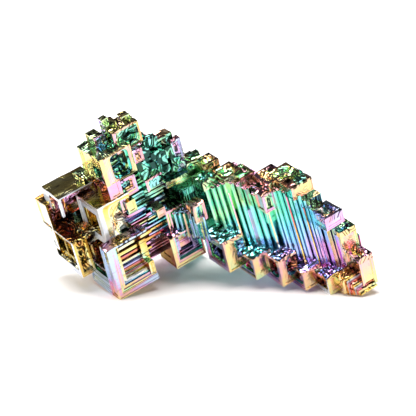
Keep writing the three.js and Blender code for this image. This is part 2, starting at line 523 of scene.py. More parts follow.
@dataclass
class Carver:
    """Makes the shells of one crystal: its block, the tools that cut it, and what stands on it.

    Attributes:
        crystal: The crystal.
        base: The smooth field at its middle.
        rng: Source of its small differences.
        top_extra: Film that tops have beyond the smooth field.
        band_rise: Mean height of a band on a rim.
        cell: Width of a cell of an uneven top.
        top_root: How far an uneven top reaches down into its block.
        crumb_root: How far a crumb reaches down into its cube.
        rim_held: Share of a rim's width that the foot of a ledge stays clear of.
        floor_share: Largest share of a face's free width that the stairs take up at each end.
        sharp_radius: Corner radius of a hollow's first step.
        face_spread: Spread of the film between the faces of a block.
        step_spread: The same between the steps of a hollow.
        small_spread: The same between the faces of a ledge, bar or crumb.
        small_relief_and_shade: Share of a ledge, bar or crumb that fine steps take up, darkened with
            painted shade.
    """

    crystal: Crystal
    base: float
    rng: Rng
    top_extra: float = 0.24
    band_rise: float = 0.07
    cell: float = 0.2
    top_root: float = 0.25
    crumb_root: float = 1.4
    rim_held: float = 0.8
    floor_share: float = 0.42
    sharp_radius: float = 0.05
    face_spread: float = 0.012
    step_spread: float = 0.024
    small_spread: float = 0.035
    small_relief_and_shade: float = 0.25

    def shells(self, lattice: Lattice) -> tuple[Shell, list[Shell], list[Shell]]:
        """All of the crystal's shells, turned a little and placed in the frame.

        Args:
            lattice: The lattice.

        Returns:
            The block, the tools that cut it, and what is joined to it.
        """
        body = self.block()
        tools = [self.hollow(face, spec) for face, spec in self.crystal.worked_faces().items()]
        extras = []
        for face in self.crystal.hollows:
            extras += self.bars(face)
            extras += self.ledges(face)
        if self.crystal.top.style is not TopStyle.FLAT:
            extras.append(self.top_layer())
        extras += self.crumbs()
        self.tilt([body, *tools, *extras], lattice)
        return body, tools, extras

    def coat(self, face: Face) -> float:
        """The film that a face has beyond the smooth field.

        Args:
            face: The face.

        Returns:
            The film value to add.
        """
        chosen = self.crystal.coats.get(face, self.crystal.skin)
        if chosen is not None:
            return chosen.value - self.base
        return self.top_extra if face is Face.TOP else 0.0

    def inner_film(self) -> float:
        """The film that the hollows' chosen colour has beyond the smooth field."""
        return self.crystal.inside.value - self.base

    def block(self) -> Shell:
        """The crystal's block, as a square ring carried from its foot to its top.

        Returns:
            The closed shell.
        """
        low, high = self.crystal.box()
        high[2] -= self.crystal.headroom()
        order = [Face.REAR_LEFT, Face.LEFT, Face.RIGHT, Face.REAR_RIGHT, Face.UNDER, Face.TOP]
        film = np.array([self.coat(face) for face in order])
        film += self.rng.normal(0, self.face_spread, 6)
        made = swept(square(low, high), film, self.crystal.relief, self.crystal.streak)
        # The top face gets the painted shade of faces that look up.
        made.relief[-1] = UPPER_RELIEF_AND_SHADE
        return made

    def top_layer(self) -> Shell:
        """The uneven layer on the crystal's top.

        The height over (u, v) is a sum of waves, a small share of it rounded to terraces. With a
        rim, the height falls by the rim's depth in two steps wherever the distance to the nearest
        edge is more than the rim's own width, which wavers, and the rim itself is nearly flat.

        Returns:
            The closed shell.
        """
        top = self.crystal.top
        low, high = self.crystal.box()
        cells = np.maximum(2, np.round((high - low)[:2] / self.cell).astype(int))
        lines = [np.linspace(low[axis], high[axis], cells[axis] + 1) for axis in (0, 1)]
        u, v = np.meshgrid(*lines, indexing="ij")
        crumple = waves(u, v, top.grain, self.rng, top.lay)
        level = 0.85 * crumple + 0.15 * np.round(crumple * 3) / 3
        height = high[2] - top.swell * (1 - level)
        clouds = waves(u, v, 1.3 * top.grain, self.rng, top.lay)
        film = self.coat(Face.TOP) + 0.08 * (clouds - 0.5)
        if top.style is TopStyle.RIMMED:
            edge = np.minimum(np.minimum(u - low[0], high[0] - u), np.minimum(v - low[1], high[1] - v))
            rim = top.rim * (1 + 0.5 * (waves(u, v, 1.6, self.rng) - 0.5))
            first, second = (np.clip((edge - rim - set_in) / 0.12, 0, 1) for set_in in (0.0, 0.55))
            drop = 0.55 * first + 0.45 * second
            height = np.where(edge < rim, high[2] - 0.25 * top.swell * (1 - level), height)
            height = height - top.depth * drop
            film = film - 0.1 * drop
        points, faces = slab(u, v, height, high[2] - self.crystal.headroom() - self.top_root)
        film = (film[:-1, :-1] + film[1:, 1:]).reshape(-1) / 2
        rest = len(faces) - len(film)
        film = np.concatenate([film, np.full(rest, self.coat(Face.RIGHT))])
        # Painted shade of the fine steps, over the whole uneven top.
        relief = np.full(len(faces), top.relief)
        return Shell(points, faces, film, relief, np.zeros(len(faces))).outward()

    def steps(self, spec: Hollow, span: np.ndarray) -> tuple[np.ndarray, np.ndarray]:
        """The steps of a hollow's profile: shallow bands over the rim, then stairs down.

        Each stair goes down by one rise and in by one tread, and their heights and widths are
        scaled to reach the floor's depth and to leave a floor.

        Args:
            spec: The hollow's sizes.
            span: Size of the face along its two axes.

        Returns:
            Depth of each step, and its inset at both ends of the two axes.
        """
        rims = np.array(spec.rims).reshape(2, 2)
        shares = np.sort(self.rng.uniform(0.12, 0.92, spec.bands))
        stairs = max(2, round(spec.depth / spec.rise)) if spec.depth > 0 else 0
        space = float((span - rims.sum(axis=1)).min()) * self.floor_share
        treads = self.rng.uniform(0.5, 1.5, max(stairs - 1, 0)) * spec.tread
        treads *= min(1.0, space / max(float(treads.sum()), 1e-6))
        rises = self.rng.uniform(0.5, 1.5, stairs)
        reach = np.cumsum(self.rng.uniform(0.5, 1.5, spec.bands)) * self.band_rise
        inset = shares[:, None, None] * rims
        if stairs:
            down = reach[-1] + np.cumsum(rises) / rises.sum() * (spec.depth - reach[-1])
            lean = self.rng.uniform(0.7, 1.3, (2, 2))
            inner = np.concatenate([[0.0], np.cumsum(treads)])[:, None, None] * lean + rims
            reach = np.concatenate([reach, down])
            inset = np.concatenate([inset, inner])
        return reach, inset

    def hollow(self, face: Face, spec: Hollow) -> Shell:
        """The tool that cuts a hollow: a stair profile carried round the rim of a face.

        The profile starts outside the face, and each step of it is two rings: one where the step
        before ends, and one at its own depth.

        Args:
            face: The face to cut.
            spec: The hollow's sizes.

        Returns:
            The closed shell.
        """
        axis, across = face.axis, face.across
        low, high = self.crystal.box()
        rims = np.array(spec.rims).reshape(2, 2)
        reach, inset = self.steps(spec, np.array(self.crystal.size)[across])
        count = len(reach)
        depths = np.concatenate([[-PAST], np.repeat(reach, 2)])[:-1]
        inset = np.repeat(inset, 2, axis=0)
        lower = low[across] + np.where(rims[:, 0] > 0, inset[:, :, 0], -PAST)
        upper = high[across] - np.where(rims[:, 1] > 0, inset[:, :, 1], -PAST)
        radius = self.sharp_radius + spec.round_by * np.repeat(np.arange(count), 2)
        path = rim_path(lower, upper, radius, 4 if spec.round_by > 0 else 1)
        rings = np.empty((*path.shape[:2], 3))
        rings[:, :, across] = path
        start = low[axis] if face.side < 0 else high[axis]
        rings[:, :, axis] = (start - face.side * depths)[:, None]
        outside = self.coat(face)
        inside = outside if self.crystal.inside is None else self.inner_film()
        level = np.clip((np.arange(count) - spec.bands + spec.fade - 1) / spec.fade, 0, 1)
        tint = outside + (inside - outside) * level + self.rng.normal(0, self.step_spread, count)
        tint = tint + spec.play * (-1.0) ** np.arange(count)
        # Painted shade: the share of darkened fine steps grows from the rim's bands to the hollow's floor.
        hollow_shade = self.crystal.relief + (self.crystal.hollow_shade - self.crystal.relief) * level
        tints, hollow_shades = (np.repeat(np.repeat(each, 2)[:-1], path.shape[1]) for each in (tint, hollow_shade))
        film = np.concatenate([tints, [outside, tint[-1]]])
        relief = np.concatenate([hollow_shades, [hollow_shade[-1], hollow_shade[-1]]])
        return swept(rings, film, relief, self.crystal.streak)

    def sink(self, low: np.ndarray, high: np.ndarray, face: Face, span: Pair) -> None:
        """Moves a box's ends to two depths below a face.

        Args:
            low: The box's lowest corner, which is changed.
            high: Its highest corner, which is changed.
            face: The face.
            span: The smaller and the larger depth.
        """
        axis = face.axis
        bottom, top = self.crystal.box()
        if face.side < 0:
            low[axis], high[axis] = bottom[axis] + span[0], bottom[axis] + span[1]
        else:
            low[axis], high[axis] = top[axis] - span[1], top[axis] - span[0]

    def ledges(self, face: Face) -> list[Shell]:
        """Thin plates that stand out from the walls of a hollow, parallel to its face.

        Args:
            face: The face with the hollow; one no deeper than a millimetre has no plates.

        Returns:
            The closed shells.
        """
        spec = self.crystal.hollows[face]
        rims = np.array(spec.rims).reshape(2, 2)
        made = []
        for _ in range(spec.ledges if spec.depth > 1 else 0):
            wall = int(self.rng.integers(2))
            end = int(self.rng.integers(2))
            low, high = self.crystal.box()
            for place, other in enumerate(face.across):
                low[other] += rims[place, 0] * self.rim_held
                high[other] -= rims[place, 1] * self.rim_held
            other = face.across[wall]
            reach = self.rng.uniform(0.5, 1.3) + 0.5
            if end:
                low[other] = max(high[other] - reach, low[other])
            else:
                high[other] = min(low[other] + reach, high[other])
            beside = face.across[1 - wall]
            long = high[beside] - low[beside]
            low[beside] += self.rng.uniform(0, 0.35) * long
            high[beside] -= self.rng.uniform(0, 0.35) * long
            near = self.rng.uniform(0.15, 0.7) * spec.depth
            self.sink(low, high, face, (near, near + self.rng.uniform(0.2, 0.45)))
            made.append(self.plain(low, high))
        return made

    def bars(self, face: Face) -> list[Shell]:
        """Thin bars across a hollow, from rim to rim.

        Args:
            face: The face with the hollow.

        Returns:
            The closed shells.
        """
        spec = self.crystal.hollows[face]
        made = []
        for _ in range(spec.bars):
            wall = int(self.rng.integers(2))
            along, other = face.across[wall], face.across[1 - wall]
            low, high = self.crystal.box()
            width = self.rng.uniform(0.35, 0.8)
            place = self.rng.uniform(0.25, 0.75) * self.crystal.size[other]
            low[other] = low[other] + place - width / 2
            high[other] = low[other] + width
            near = self.rng.uniform(0.25, 0.6) * spec.depth
            self.sink(low, high, face, (near, spec.depth + 0.3))
            low[along] += 0.4
            high[along] -= 0.4
            made.append(self.plain(low, high))
        return made

    def plain(self, low: np.ndarray, high: np.ndarray) -> Shell:
        """A small plain block with the crystal's inner film colour.

        Args:
            low: Its lowest corner.
            high: Its highest corner.

        Returns:
            The closed shell.
        """
        inside = 0.0 if self.crystal.inside is None else self.inner_film()
        film = inside + self.rng.normal(0, self.small_spread, 6)
        # Painted shade darkens the fine steps of a ledge, bar or crumb, more on its top.
        made = swept(square(low, high), film, self.small_relief_and_shade, self.crystal.streak)
        made.relief[-1] = UPPER_RELIEF_AND_SHADE
        return made

    def crumbs(self) -> list[Shell]:
        """Small low blocks that stand on the crystal's top, some at its edges.

        Returns:
            The closed shells.
        """
        made = []
        bottom, top = self.crystal.box()
        size = np.array(self.crystal.size)[:2]
        for _ in range(self.crystal.crumbs):
            span = self.rng.uniform(0.16, 0.42, 2) * size
            low = np.empty(3)
            low[:2] = bottom[:2] + self.rng.uniform(0.02, 0.98, 2) * (size - span)
            low[2] = top[2] - self.crumb_root
            high = low + np.array([*span, self.crumb_root + self.rng.uniform(-0.3, 0.4)])
            made.append(self.plain(low, high))
        return made

    def tilt(self, shells: list[Shell], lattice: Lattice) -> None:
        """Turns the crystal's shells about its middle, then puts them in the frame.

        Args:
            shells: The shells, whose points are changed.
            lattice: The lattice.
        """
        angles = np.radians(self.rng.uniform(-self.crystal.tilt, self.crystal.tilt, 3))
        turn = np.array(Euler(angles).to_matrix())
        middle = self.crystal.middle()
        top = self.crystal.corner[2] + self.crystal.size[2]
        for made in shells:
            made.points[:, 1] -= self.crystal.batter * (top - made.points[:, 2])
            made.points = lattice.place((made.points - middle) @ turn.T + middle)


class Mason:
    """Cuts the crystals and joins them to one skin, with the Boolean modifier."""

    # Half the width of the room above the table.
    reach = 100.0

    def __init__(self, lattice: Lattice, film: FilmField) -> None:
        """Keeps the lattice and the field, and starts an empty list of cut cubes."""
        self.lattice = lattice
        self.film = film
        self.pending: list[bpy.types.Object] = []
        self.scratch = bpy.data.collections.new("scratch")
        bpy.context.scene.collection.children.link(self.scratch)

    def mesh_object(self, made: Shell, name: str) -> bpy.types.Object:
        """An object with a shell's mesh and its face attributes.

        Args:
            made: The shell.
            name: Name of the object.

        Returns:
            The object, in no collection.
        """
        mesh = bpy.data.meshes.new(name)
        mesh.from_pydata(made.points.tolist(), [], made.faces)
        for key in ("film", "relief", "streak"):
            layer = mesh.attributes.new(key, "FLOAT", "FACE")
            layer.data.foreach_set("value", getattr(made, key).astype(np.float32))
        mesh.update()
        return bpy.data.objects.new(name, mesh)

    def combine(self, body: bpy.types.Object, tools: list[bpy.types.Object], cut: Cut) -> None:
        """Adds a Boolean modifier that combines a body with all of the tools.

        Args:
            body: The body.
            tools: The objects to cut or join it with, in no collection yet.
            cut: How they are combined.
        """
        group = bpy.data.collections.new(f"tools of {body.name}")
        self.scratch.children.link(group)
        for tool in tools:
            group.objects.link(tool)
        modifier = body.modifiers.new("carve", "BOOLEAN")
        modifier.operation = cut.value
        modifier.operand_type = "COLLECTION"
        modifier.collection = group
        modifier.solver = "MANIFOLD"

    def lay(self, crystals: list[Crystal], seed: int) -> None:
        """Makes the meshes of some crystals and cuts each one's hollows.

        Args:
            crystals: The crystals.
            seed: Seed of their small differences.
        """
        for number, crystal in enumerate(crystals):
            base = float(self.film.at(self.lattice.place(crystal.middle()[None]))[0])
            carver = Carver(crystal, base, np.random.default_rng((seed, number)))
            body, tools, extras = carver.shells(self.lattice)
            made = self.mesh_object(body, f"cube {seed} {number}")
            if tools:
                self.combine(made, [self.mesh_object(tool, "tool") for tool in tools], Cut.REMOVE)
            for piece in [made, *(self.mesh_object(extra, "extra") for extra in extras)]:
                self.scratch.objects.link(piece)
                self.pending.append(piece)

    def settled(self, made: bpy.types.Object) -> bpy.types.Mesh:
        """The mesh of an object with its modifiers applied."""
        graph = bpy.context.evaluated_depsgraph_get()
        return bpy.data.meshes.new_from_object(made.evaluated_get(graph))

    def grown_together(self, name: str) -> bpy.types.Object:
        """Joins all that was laid to one closed skin, cut off flat at the table.

        Args:
            name: Name of the finished object.

        Returns:
            The object, in metres.
        """
        bpy.context.view_layer.update()
        parts = [bpy.data.objects.new("part", self.settled(made)) for made in self.pending]
        whole = parts[0]
        self.scratch.objects.link(whole)
        self.combine(whole, parts[1:], Cut.JOIN)
        bpy.context.view_layer.update()
        grown = bpy.data.objects.new("grown", self.settled(whole))
        self.scratch.objects.link(grown)
        low = np.array([-self.reach, -self.reach, 0.0])
        high = np.full(3, self.reach)
        room = self.mesh_object(swept(square(low, high), np.zeros(6), 0.0, 0.0), "room")
        self.combine(grown, [room], Cut.KEEP_COMMON)
        bpy.context.view_layer.update()
        mesh = self.settled(grown)
        self.clear()
        mesh.transform(Matrix.Scale(MM, 4))
        mesh.name = name
        finished = bpy.data.objects.new(name, mesh)
        bpy.context.scene.collection.objects.link(finished)
        return finished

    def clear(self) -> None:
        """Removes the cubes and tools that the skin was made from."""
        for group in [*self.scratch.children]:
            for tool in [*group.objects]:
                bpy.data.objects.remove(tool)
            bpy.data.collections.remove(group)
        for made in [*self.scratch.objects]:
            bpy.data.objects.remove(made)
        bpy.data.collections.remove(self.scratch)


@dataclass
class Heap:
    """The heap of large cubes on the left, with the pit between them."""

    def crystals(self) -> list[Crystal]:
        """The cubes, from the lowest front one to the core behind them."""
        silver = {Face.LEFT: Film.ICE, Face.RIGHT: Film.ICE, Face.TOP: Film.LIME}
        dark = {Face.LEFT: Film.SILVER, Face.RIGHT: Film.CREAM, Face.TOP: Film.STRAW}
        inner = {Face.LEFT: Film.SILVER, Face.RIGHT: Film.GOLD, Face.TOP: Film.GOLD}
        return [
            Crystal((-24.8, -0.5, -9), (9.8, 2.9, 12.8), {
                Face.RIGHT: Hollow((2.2, 0, 2.4, 0), 3.4, 0.5, 0.4, bands=6, ledges=5, play=0.05),
            }, silver, Film.STRAW, hollow_shade=0.4, streak=-1),
            Crystal((-24.8, 2.2, -9), (9.8, 7.9, 6.6), {
                Face.LEFT: Hollow((0, 1.2, 3.6, 0), 3.4, bars=1, bands=5, ledges=6),
            }, silver, Film.STRAW, Film.GOLD, DARK),
            Crystal((-24.2, 7, -4), (4, 6.2, 5.6), {
                Face.LEFT: Hollow((1.4, 1.2, 0.6, 0.9), 2, bands=2, ledges=4),
                Face.RIGHT: even(0.5, 1.4, ledges=4),
            }, {Face.LEFT: Film.CREAM}, Film.GOLD, Film.GOLD, DARK),
            Crystal((-16.4, -0.3, -7.5), (1.2, 3, 3.3), {}, {Face.RIGHT: Film.STRAW}, Film.GOLD),
            Crystal((-22.8, 2.3, 2.6), (7.6, 8.9, 9.1), {
                Face.LEFT: Hollow((1.7, 2, 1.4, 2.4), 4, ledges=6, bands=2),
                Face.RIGHT: Hollow((2.2, 0, 0, 0.9), 2.6, 0.36, 0.5, 0.4, play=0.06, ledges=0, fade=4),
            }, {**dark, Face.RIGHT: Film.SILVER, Face.TOP: Film.CREAM}, Film.GOLD, Film.GOLD, SLICK,
                hollow_shade=0.15),
            Crystal((-28.4, 6.2, -4.2), (3.2, 12.8, 8.8), {
                Face.LEFT: Hollow((1.1, 3, 1.3, 0.8), 3, bars=3, ledges=8, bands=2),
                Face.RIGHT: Hollow((0.6, 0.4, 0.8, 0.6), 1.6, ledges=4),
            }, inner, Film.GOLD, Film.GOLD, DARK, hollow_shade=0.72),
            Crystal((-28.4, 14.4, -1), (5.5, 4.4, 11.6), {
                Face.RIGHT: Hollow((0.5, 0.5, 1, 0.6), 1.2),
            }, {Face.LEFT: Film.CREAM}, Film.RED, Film.GOLD, DARK),
            Crystal((-27.4, 9, 9.2), (9.5, 7.2, 4.6), {
                Face.RIGHT: Hollow((0.5, 0, 0, 0.4), 3.4, ledges=8, bands=1),
                Face.LEFT: Hollow((0.7, 2.6, 0, 0.9), 1.6, ledges=3, bands=1),
            }, {**dark, Face.RIGHT: Film.SILVER}, Film.MAGENTA, Film.RED, SLICK, hollow_shade=0.85),
            # These last two cubes lie deep in the heap and are darkened with painted shade.
            Crystal((-21, 7, -7), (12, 8, 16.6), {
                Face.LEFT: even(0.6, 2, ledges=10),
                Face.RIGHT: even(0.6, 2, ledges=8),
            }, {}, Film.GOLD, Film.GOLD, DARK, relief=0.7, crumbs=8, hollow_shade=0.85),
            Crystal((-25.6, 7, 2), (4.2, 6, 3), {}, {}, Film.GOLD, Film.STRAW, DARK, relief=0.6, crumbs=4),
        ]


@dataclass
class Crown:
    """The cubes that stand on top of the heap, and those inside and behind it below them."""

    def crystals(self) -> list[Crystal]:
        """The cubes: the crown itself, then those below it, and the ridge behind the trough."""
        rim = {Face.LEFT: Film.YELLOW, Face.RIGHT: Film.YELLOW, Face.TOP: Film.LIME}
        icy = {Face.LEFT: Film.ICE, Face.RIGHT: Film.LIME, Face.TOP: Film.YELLOW}
        return [
            Crystal((-19.7, 1.7, 15.6), (7.4, 8.8, 6.7), {
                Face.LEFT: Hollow((1.2, 4.4, 0, 3), 3, round_by=0.2),
                Face.RIGHT: Hollow((2.4, 0.7, 0.1, 0.9), 4.4, 0.6, 0.4, 0.12, bands=7, play=0.08),
            }, rim, Film.TEAL, top=DARK, crumbs=3),
            Crystal((-12.4, 1.4, 17.4), (2.2, 3, 3), {
                Face.RIGHT: even(0.5, 0.6),
            }, {Face.RIGHT: Film.PINK}, Film.PINK),
            Crystal((-14.9, 3, 20.4), (6.2, 4.6, 5.2), {
                Face.LEFT: Hollow((0.9, 0.9, 0, 0.9), 1.6, play=0.05),
                Face.RIGHT: Hollow((0.7, 0.3, 0.1, 0.5), 2.2, 0.25, 0.2, 0.3, ledges=0, bands=3),
            }, {Face.LEFT: Film.ICE, Face.RIGHT: Film.PEACH, Face.TOP: Film.YELLOW}, Film.GREEN, hollow_shade=0.5),
            Crystal((-14.9, 5, 24.6), (2.6, 2.6, 1.9), {}, icy, Film.TEAL, tilt=5),
            Crystal((-14.9, 6, 25), (1.5, 1.6, 2.3), {}, icy, Film.TEAL, top=FLAT, tilt=5),
            Crystal((-11, 4.8, 24.6), (1.9, 2.2, 1.9), {}, icy, Film.PINK, tilt=6),
            Crystal((-17.9, 5.4, 20.4), (2.1, 3.4, 4.4), {
                Face.RIGHT: Hollow((0.5, 0, 0, 0.4), 1.2),
            }, {Face.LEFT: Film.YELLOW, Face.RIGHT: Film.LILAC, Face.TOP: Film.LIME}, Film.BLUE,
                top=FLAT, hollow_shade=0.8),
            Crystal((-19.2, 2.6, 11.4), (3, 5, 4.6), {}, {Face.LEFT: Film.YELLOW}, Film.RED, Film.PINK),
            Crystal((-21.4, 8, 14.4), (3.4, 4.4, 1.1), {}, {}, None, Film.LIME, FLAT, relief=0.5),
            # From here on, cubes with a large share of fine steps lie in recesses and are darkened with
            # painted shade.
            Crystal((-19.8, 4.6, 9), (6, 7, 6), {
                Face.LEFT: even(0.4, 1.6, ledges=6),
            }, {}, Film.GOLD, Film.RED, DARK, relief=0.75, hollow_shade=0.85, crumbs=3),
            Crystal((-17.6, 3.4, 10), (5.2, 4, 4.2), {
                Face.RIGHT: Hollow((1.5, 0.7, 1.3, 0.7), 1.8, bands=4, play=0.05),
            }, {Face.RIGHT: Film.LILAC, Face.LEFT: Film.LILAC}, Film.TEAL),
            Crystal((-16.3, 2.5, 6.6), (2.1, 3, 2.8), {}, {Face.RIGHT: Film.YELLOW}, Film.GOLD, top=FLAT),
            Crystal((-17.2, 3.1, 7.2), (1.3, 3, 3), {}, {Face.RIGHT: Film.LILAC}, Film.TEAL, top=FLAT),
            Crystal((-6.2, 4.2, 9), (4.6, 2.6, 9.2), {
                Face.RIGHT: Hollow((0.3, 0.3, 0.3, 0.7), 1.8, ledges=9, bands=2),
                Face.LEFT: Hollow((0.3, 0.3, 0.3, 0.7), 1, ledges=4, bands=2),
            }, {Face.RIGHT: Film.GREEN, Face.TOP: Film.PEACH}, Film.TEAL, relief=0.85, hollow_shade=0.9),
            Crystal((-2.7, 3.7, 9), (2.4, 1.6, 7.4), {
                Face.RIGHT: Hollow((0.6, 0.6, 3.6, 0.6), 0.5),
            }, {Face.RIGHT: Film.ICE}, Film.PINK, crumbs=2),
            Crystal((-17, 5.4, 8), (11.5, 6, 10.3), {
                Face.RIGHT: even(0.6, 2.2, ledges=12),
            }, {}, Film.TEAL, relief=0.8, crumbs=14, hollow_shade=0.85),
            Crystal((-9.6, 5, 8), (3.6, 4, 10.6), {
                Face.RIGHT: even(0.4, 1.6, ledges=8),
            }, {}, Film.TEAL, relief=0.8, crumbs=8, hollow_shade=0.85),
            Crystal((-11.4, 3.4, 12.6), (3.6, 3, 3.2), {
                Face.RIGHT: even(0.4, 1.2, ledges=4),
            }, {}, Film.TEAL, Film.TEAL, relief=0.75, hollow_shade=0.85),
        ]


@dataclass
class Rubble:
    """Small cubes that have grown over the heap's right side and behind the trough, darkened with painted
    shade.

    Attributes:
        patches: Lowest and highest place of the cubes' corners, their number and their colour.
        spans: Smallest and largest size of a cube.
        tilt: Largest turn of a cube away from the lattice, in degrees.
        relief: Share of a cube's sides that fine steps take up, darkened with painted shade.
        seed: Seed of their places and sizes.
    """

    patches: tuple[tuple[Triple, Triple, int, Film], ...] = (
        ((-6.6, 3.4, 9.5), (-2.6, 4.2, 16), 14, Film.TEAL),
        ((-12, 2.8, 10.5), (-6.6, 4.4, 18.2), 16, Film.TEAL),
        ((-4.6, 3.6, 15.4), (-2.4, 5.4, 16.4), 3, Film.LIME),
        ((-0.6, 3.4, 7.6), (2.4, 5.4, 9.8), 8, Film.GREEN),
    )
    spans: Pair = (0.9, 2.3)
    tilt: float = 8.0
    relief: float = 0.72
    seed: int = 37

    def crystals(self) -> list[Crystal]:
        """The cubes of every patch, each turned a little away from the lattice."""
        rng = np.random.default_rng(self.seed)
        made = []
        for low, high, count, film in self.patches:
            for _ in range(count):
                corner = tuple(rng.uniform(low, high).tolist())
                size = tuple(rng.uniform(*self.spans, 3).tolist())
                cube = Crystal(corner, size, skin=film, top=DARK, banded=False)
                cube.tilt, cube.relief = self.tilt, self.relief
                made.append(cube)
        return made


@dataclass
class Ladder:
    """The flights of stairs that climb the right side of the heap.

    Attributes:
        count: Height of a flight, in steps.
        rise: Height of a step.
        run: Way along u and v from one step to the next.
        foot: Where the first step lies.
        depth: How far a stair reaches into the heap.
        flights: For each flight, its start along u, its length along u and its first step.
        shadow: How far the slots are set back, and from how far back a stair is darkened with painted
            shade.
        beside: Length that the first flight loses at its left, from the step clear_of on.
        clear_of: That step.
        low: Film colours in turn of the stairs below the step low_until.
        low_until: That step.
        middle: Film colours in turn of the stairs above it and below the step middle_until.
        middle_until: That step. The stairs above it have the smooth field's own colour.
        tint_every: Part of a step after which the next colour comes.
        front_relief_and_shade: Share of a stair that fine steps take up, darkened with painted shade.
        slot_relief_and_shade: The same share in a slot, large to paint its shade.
        seed: Seed of the uneven stairs.
    """

    count: int = 13
    rise: float = 1.6
    run: Pair = (0.5, 0.36)
    foot: Triple = (-23.0, 0.9, -6.6)
    depth: float = 7
    flights: tuple[Triple, ...] = ((0.0, 8.0, 0.0), (7.6, 5.2, 3.0))
    shadow: float = 0.9
    beside: float = 3.4
    clear_of: float = 5.5
    low: tuple[Film | None, ...] = (Film.STRAW, Film.MAGENTA, Film.RED, Film.GOLD, Film.VIOLET)
    low_until: float = 4.4
    middle: tuple[Film | None, ...] = (Film.VIOLET, None, Film.YELLOW, Film.MAGENTA, Film.BLUE, None)
    middle_until: float = 7.6
    tint_every: float = 0.4
    front_relief_and_shade: float = 0.12
    slot_relief_and_shade: float = 0.8
    seed: int = 71

    def tint(self, way: float) -> Film | None:
        """The film colour of a stair, by how far up the flight it lies."""
        tints: tuple[Film | None, ...] = (None,)
        if way < self.low_until:
            tints = self.low
        elif way < self.middle_until:
            tints = self.middle
        return tints[int(way / self.tint_every) % len(tints)]

    def stair(self, way: float, thick: float, back: float, ends: Pair) -> Crystal:
        """A thin stair.

        Args:
            way: How far up the flight it lies, in steps.
            thick: Its thickness.
            back: How far it is set back.
            ends: Where it starts and ends along u, from the flight's own foot.

        Returns:
            The stair.
        """
        corner = (
            self.foot[0] + self.run[0] * way + ends[0],
            self.foot[1] + self.run[1] * way + back,
            self.foot[2] + self.rise * way,
        )
        size = (ends[1] - ends[0], self.depth, thick)
        made = Crystal(corner, size, skin=self.tint(way), top=FLAT, streak=-1, tilt=0.6, banded=False)
        # Stairs set back into the slots get the larger share of painted shade.
        made.relief = self.front_relief_and_shade if back < self.shadow else self.slot_relief_and_shade
        return made

    def crystals(self) -> list[Crystal]:
        """Stairs of uneven thickness, each with a slot below it darkened with painted shade, as two
        flights.
        """
        rng = np.random.default_rng(self.seed)
        made = []
        for start, reach, first in self.flights:
            way = first
            while way < self.count:
                left = start + (self.beside if start == 0 and way > self.clear_of else 0.0)
                slot = rng.uniform(0.14, 0.42)
                plate = rng.uniform(0.12, 0.42)
                ends = (left + rng.uniform(-0.3, 0.3), start + reach + rng.uniform(-0.7, 0.4))
                thick = (slot + 0.05) * self.rise
                made.append(self.stair(way, thick, self.shadow + rng.uniform(0, 0.5), ends))
                back = rng.uniform(-0.1, 0.45)
                made.append(self.stair(way + slot, plate * self.rise, back, ends))
                way += slot + plate
        return made


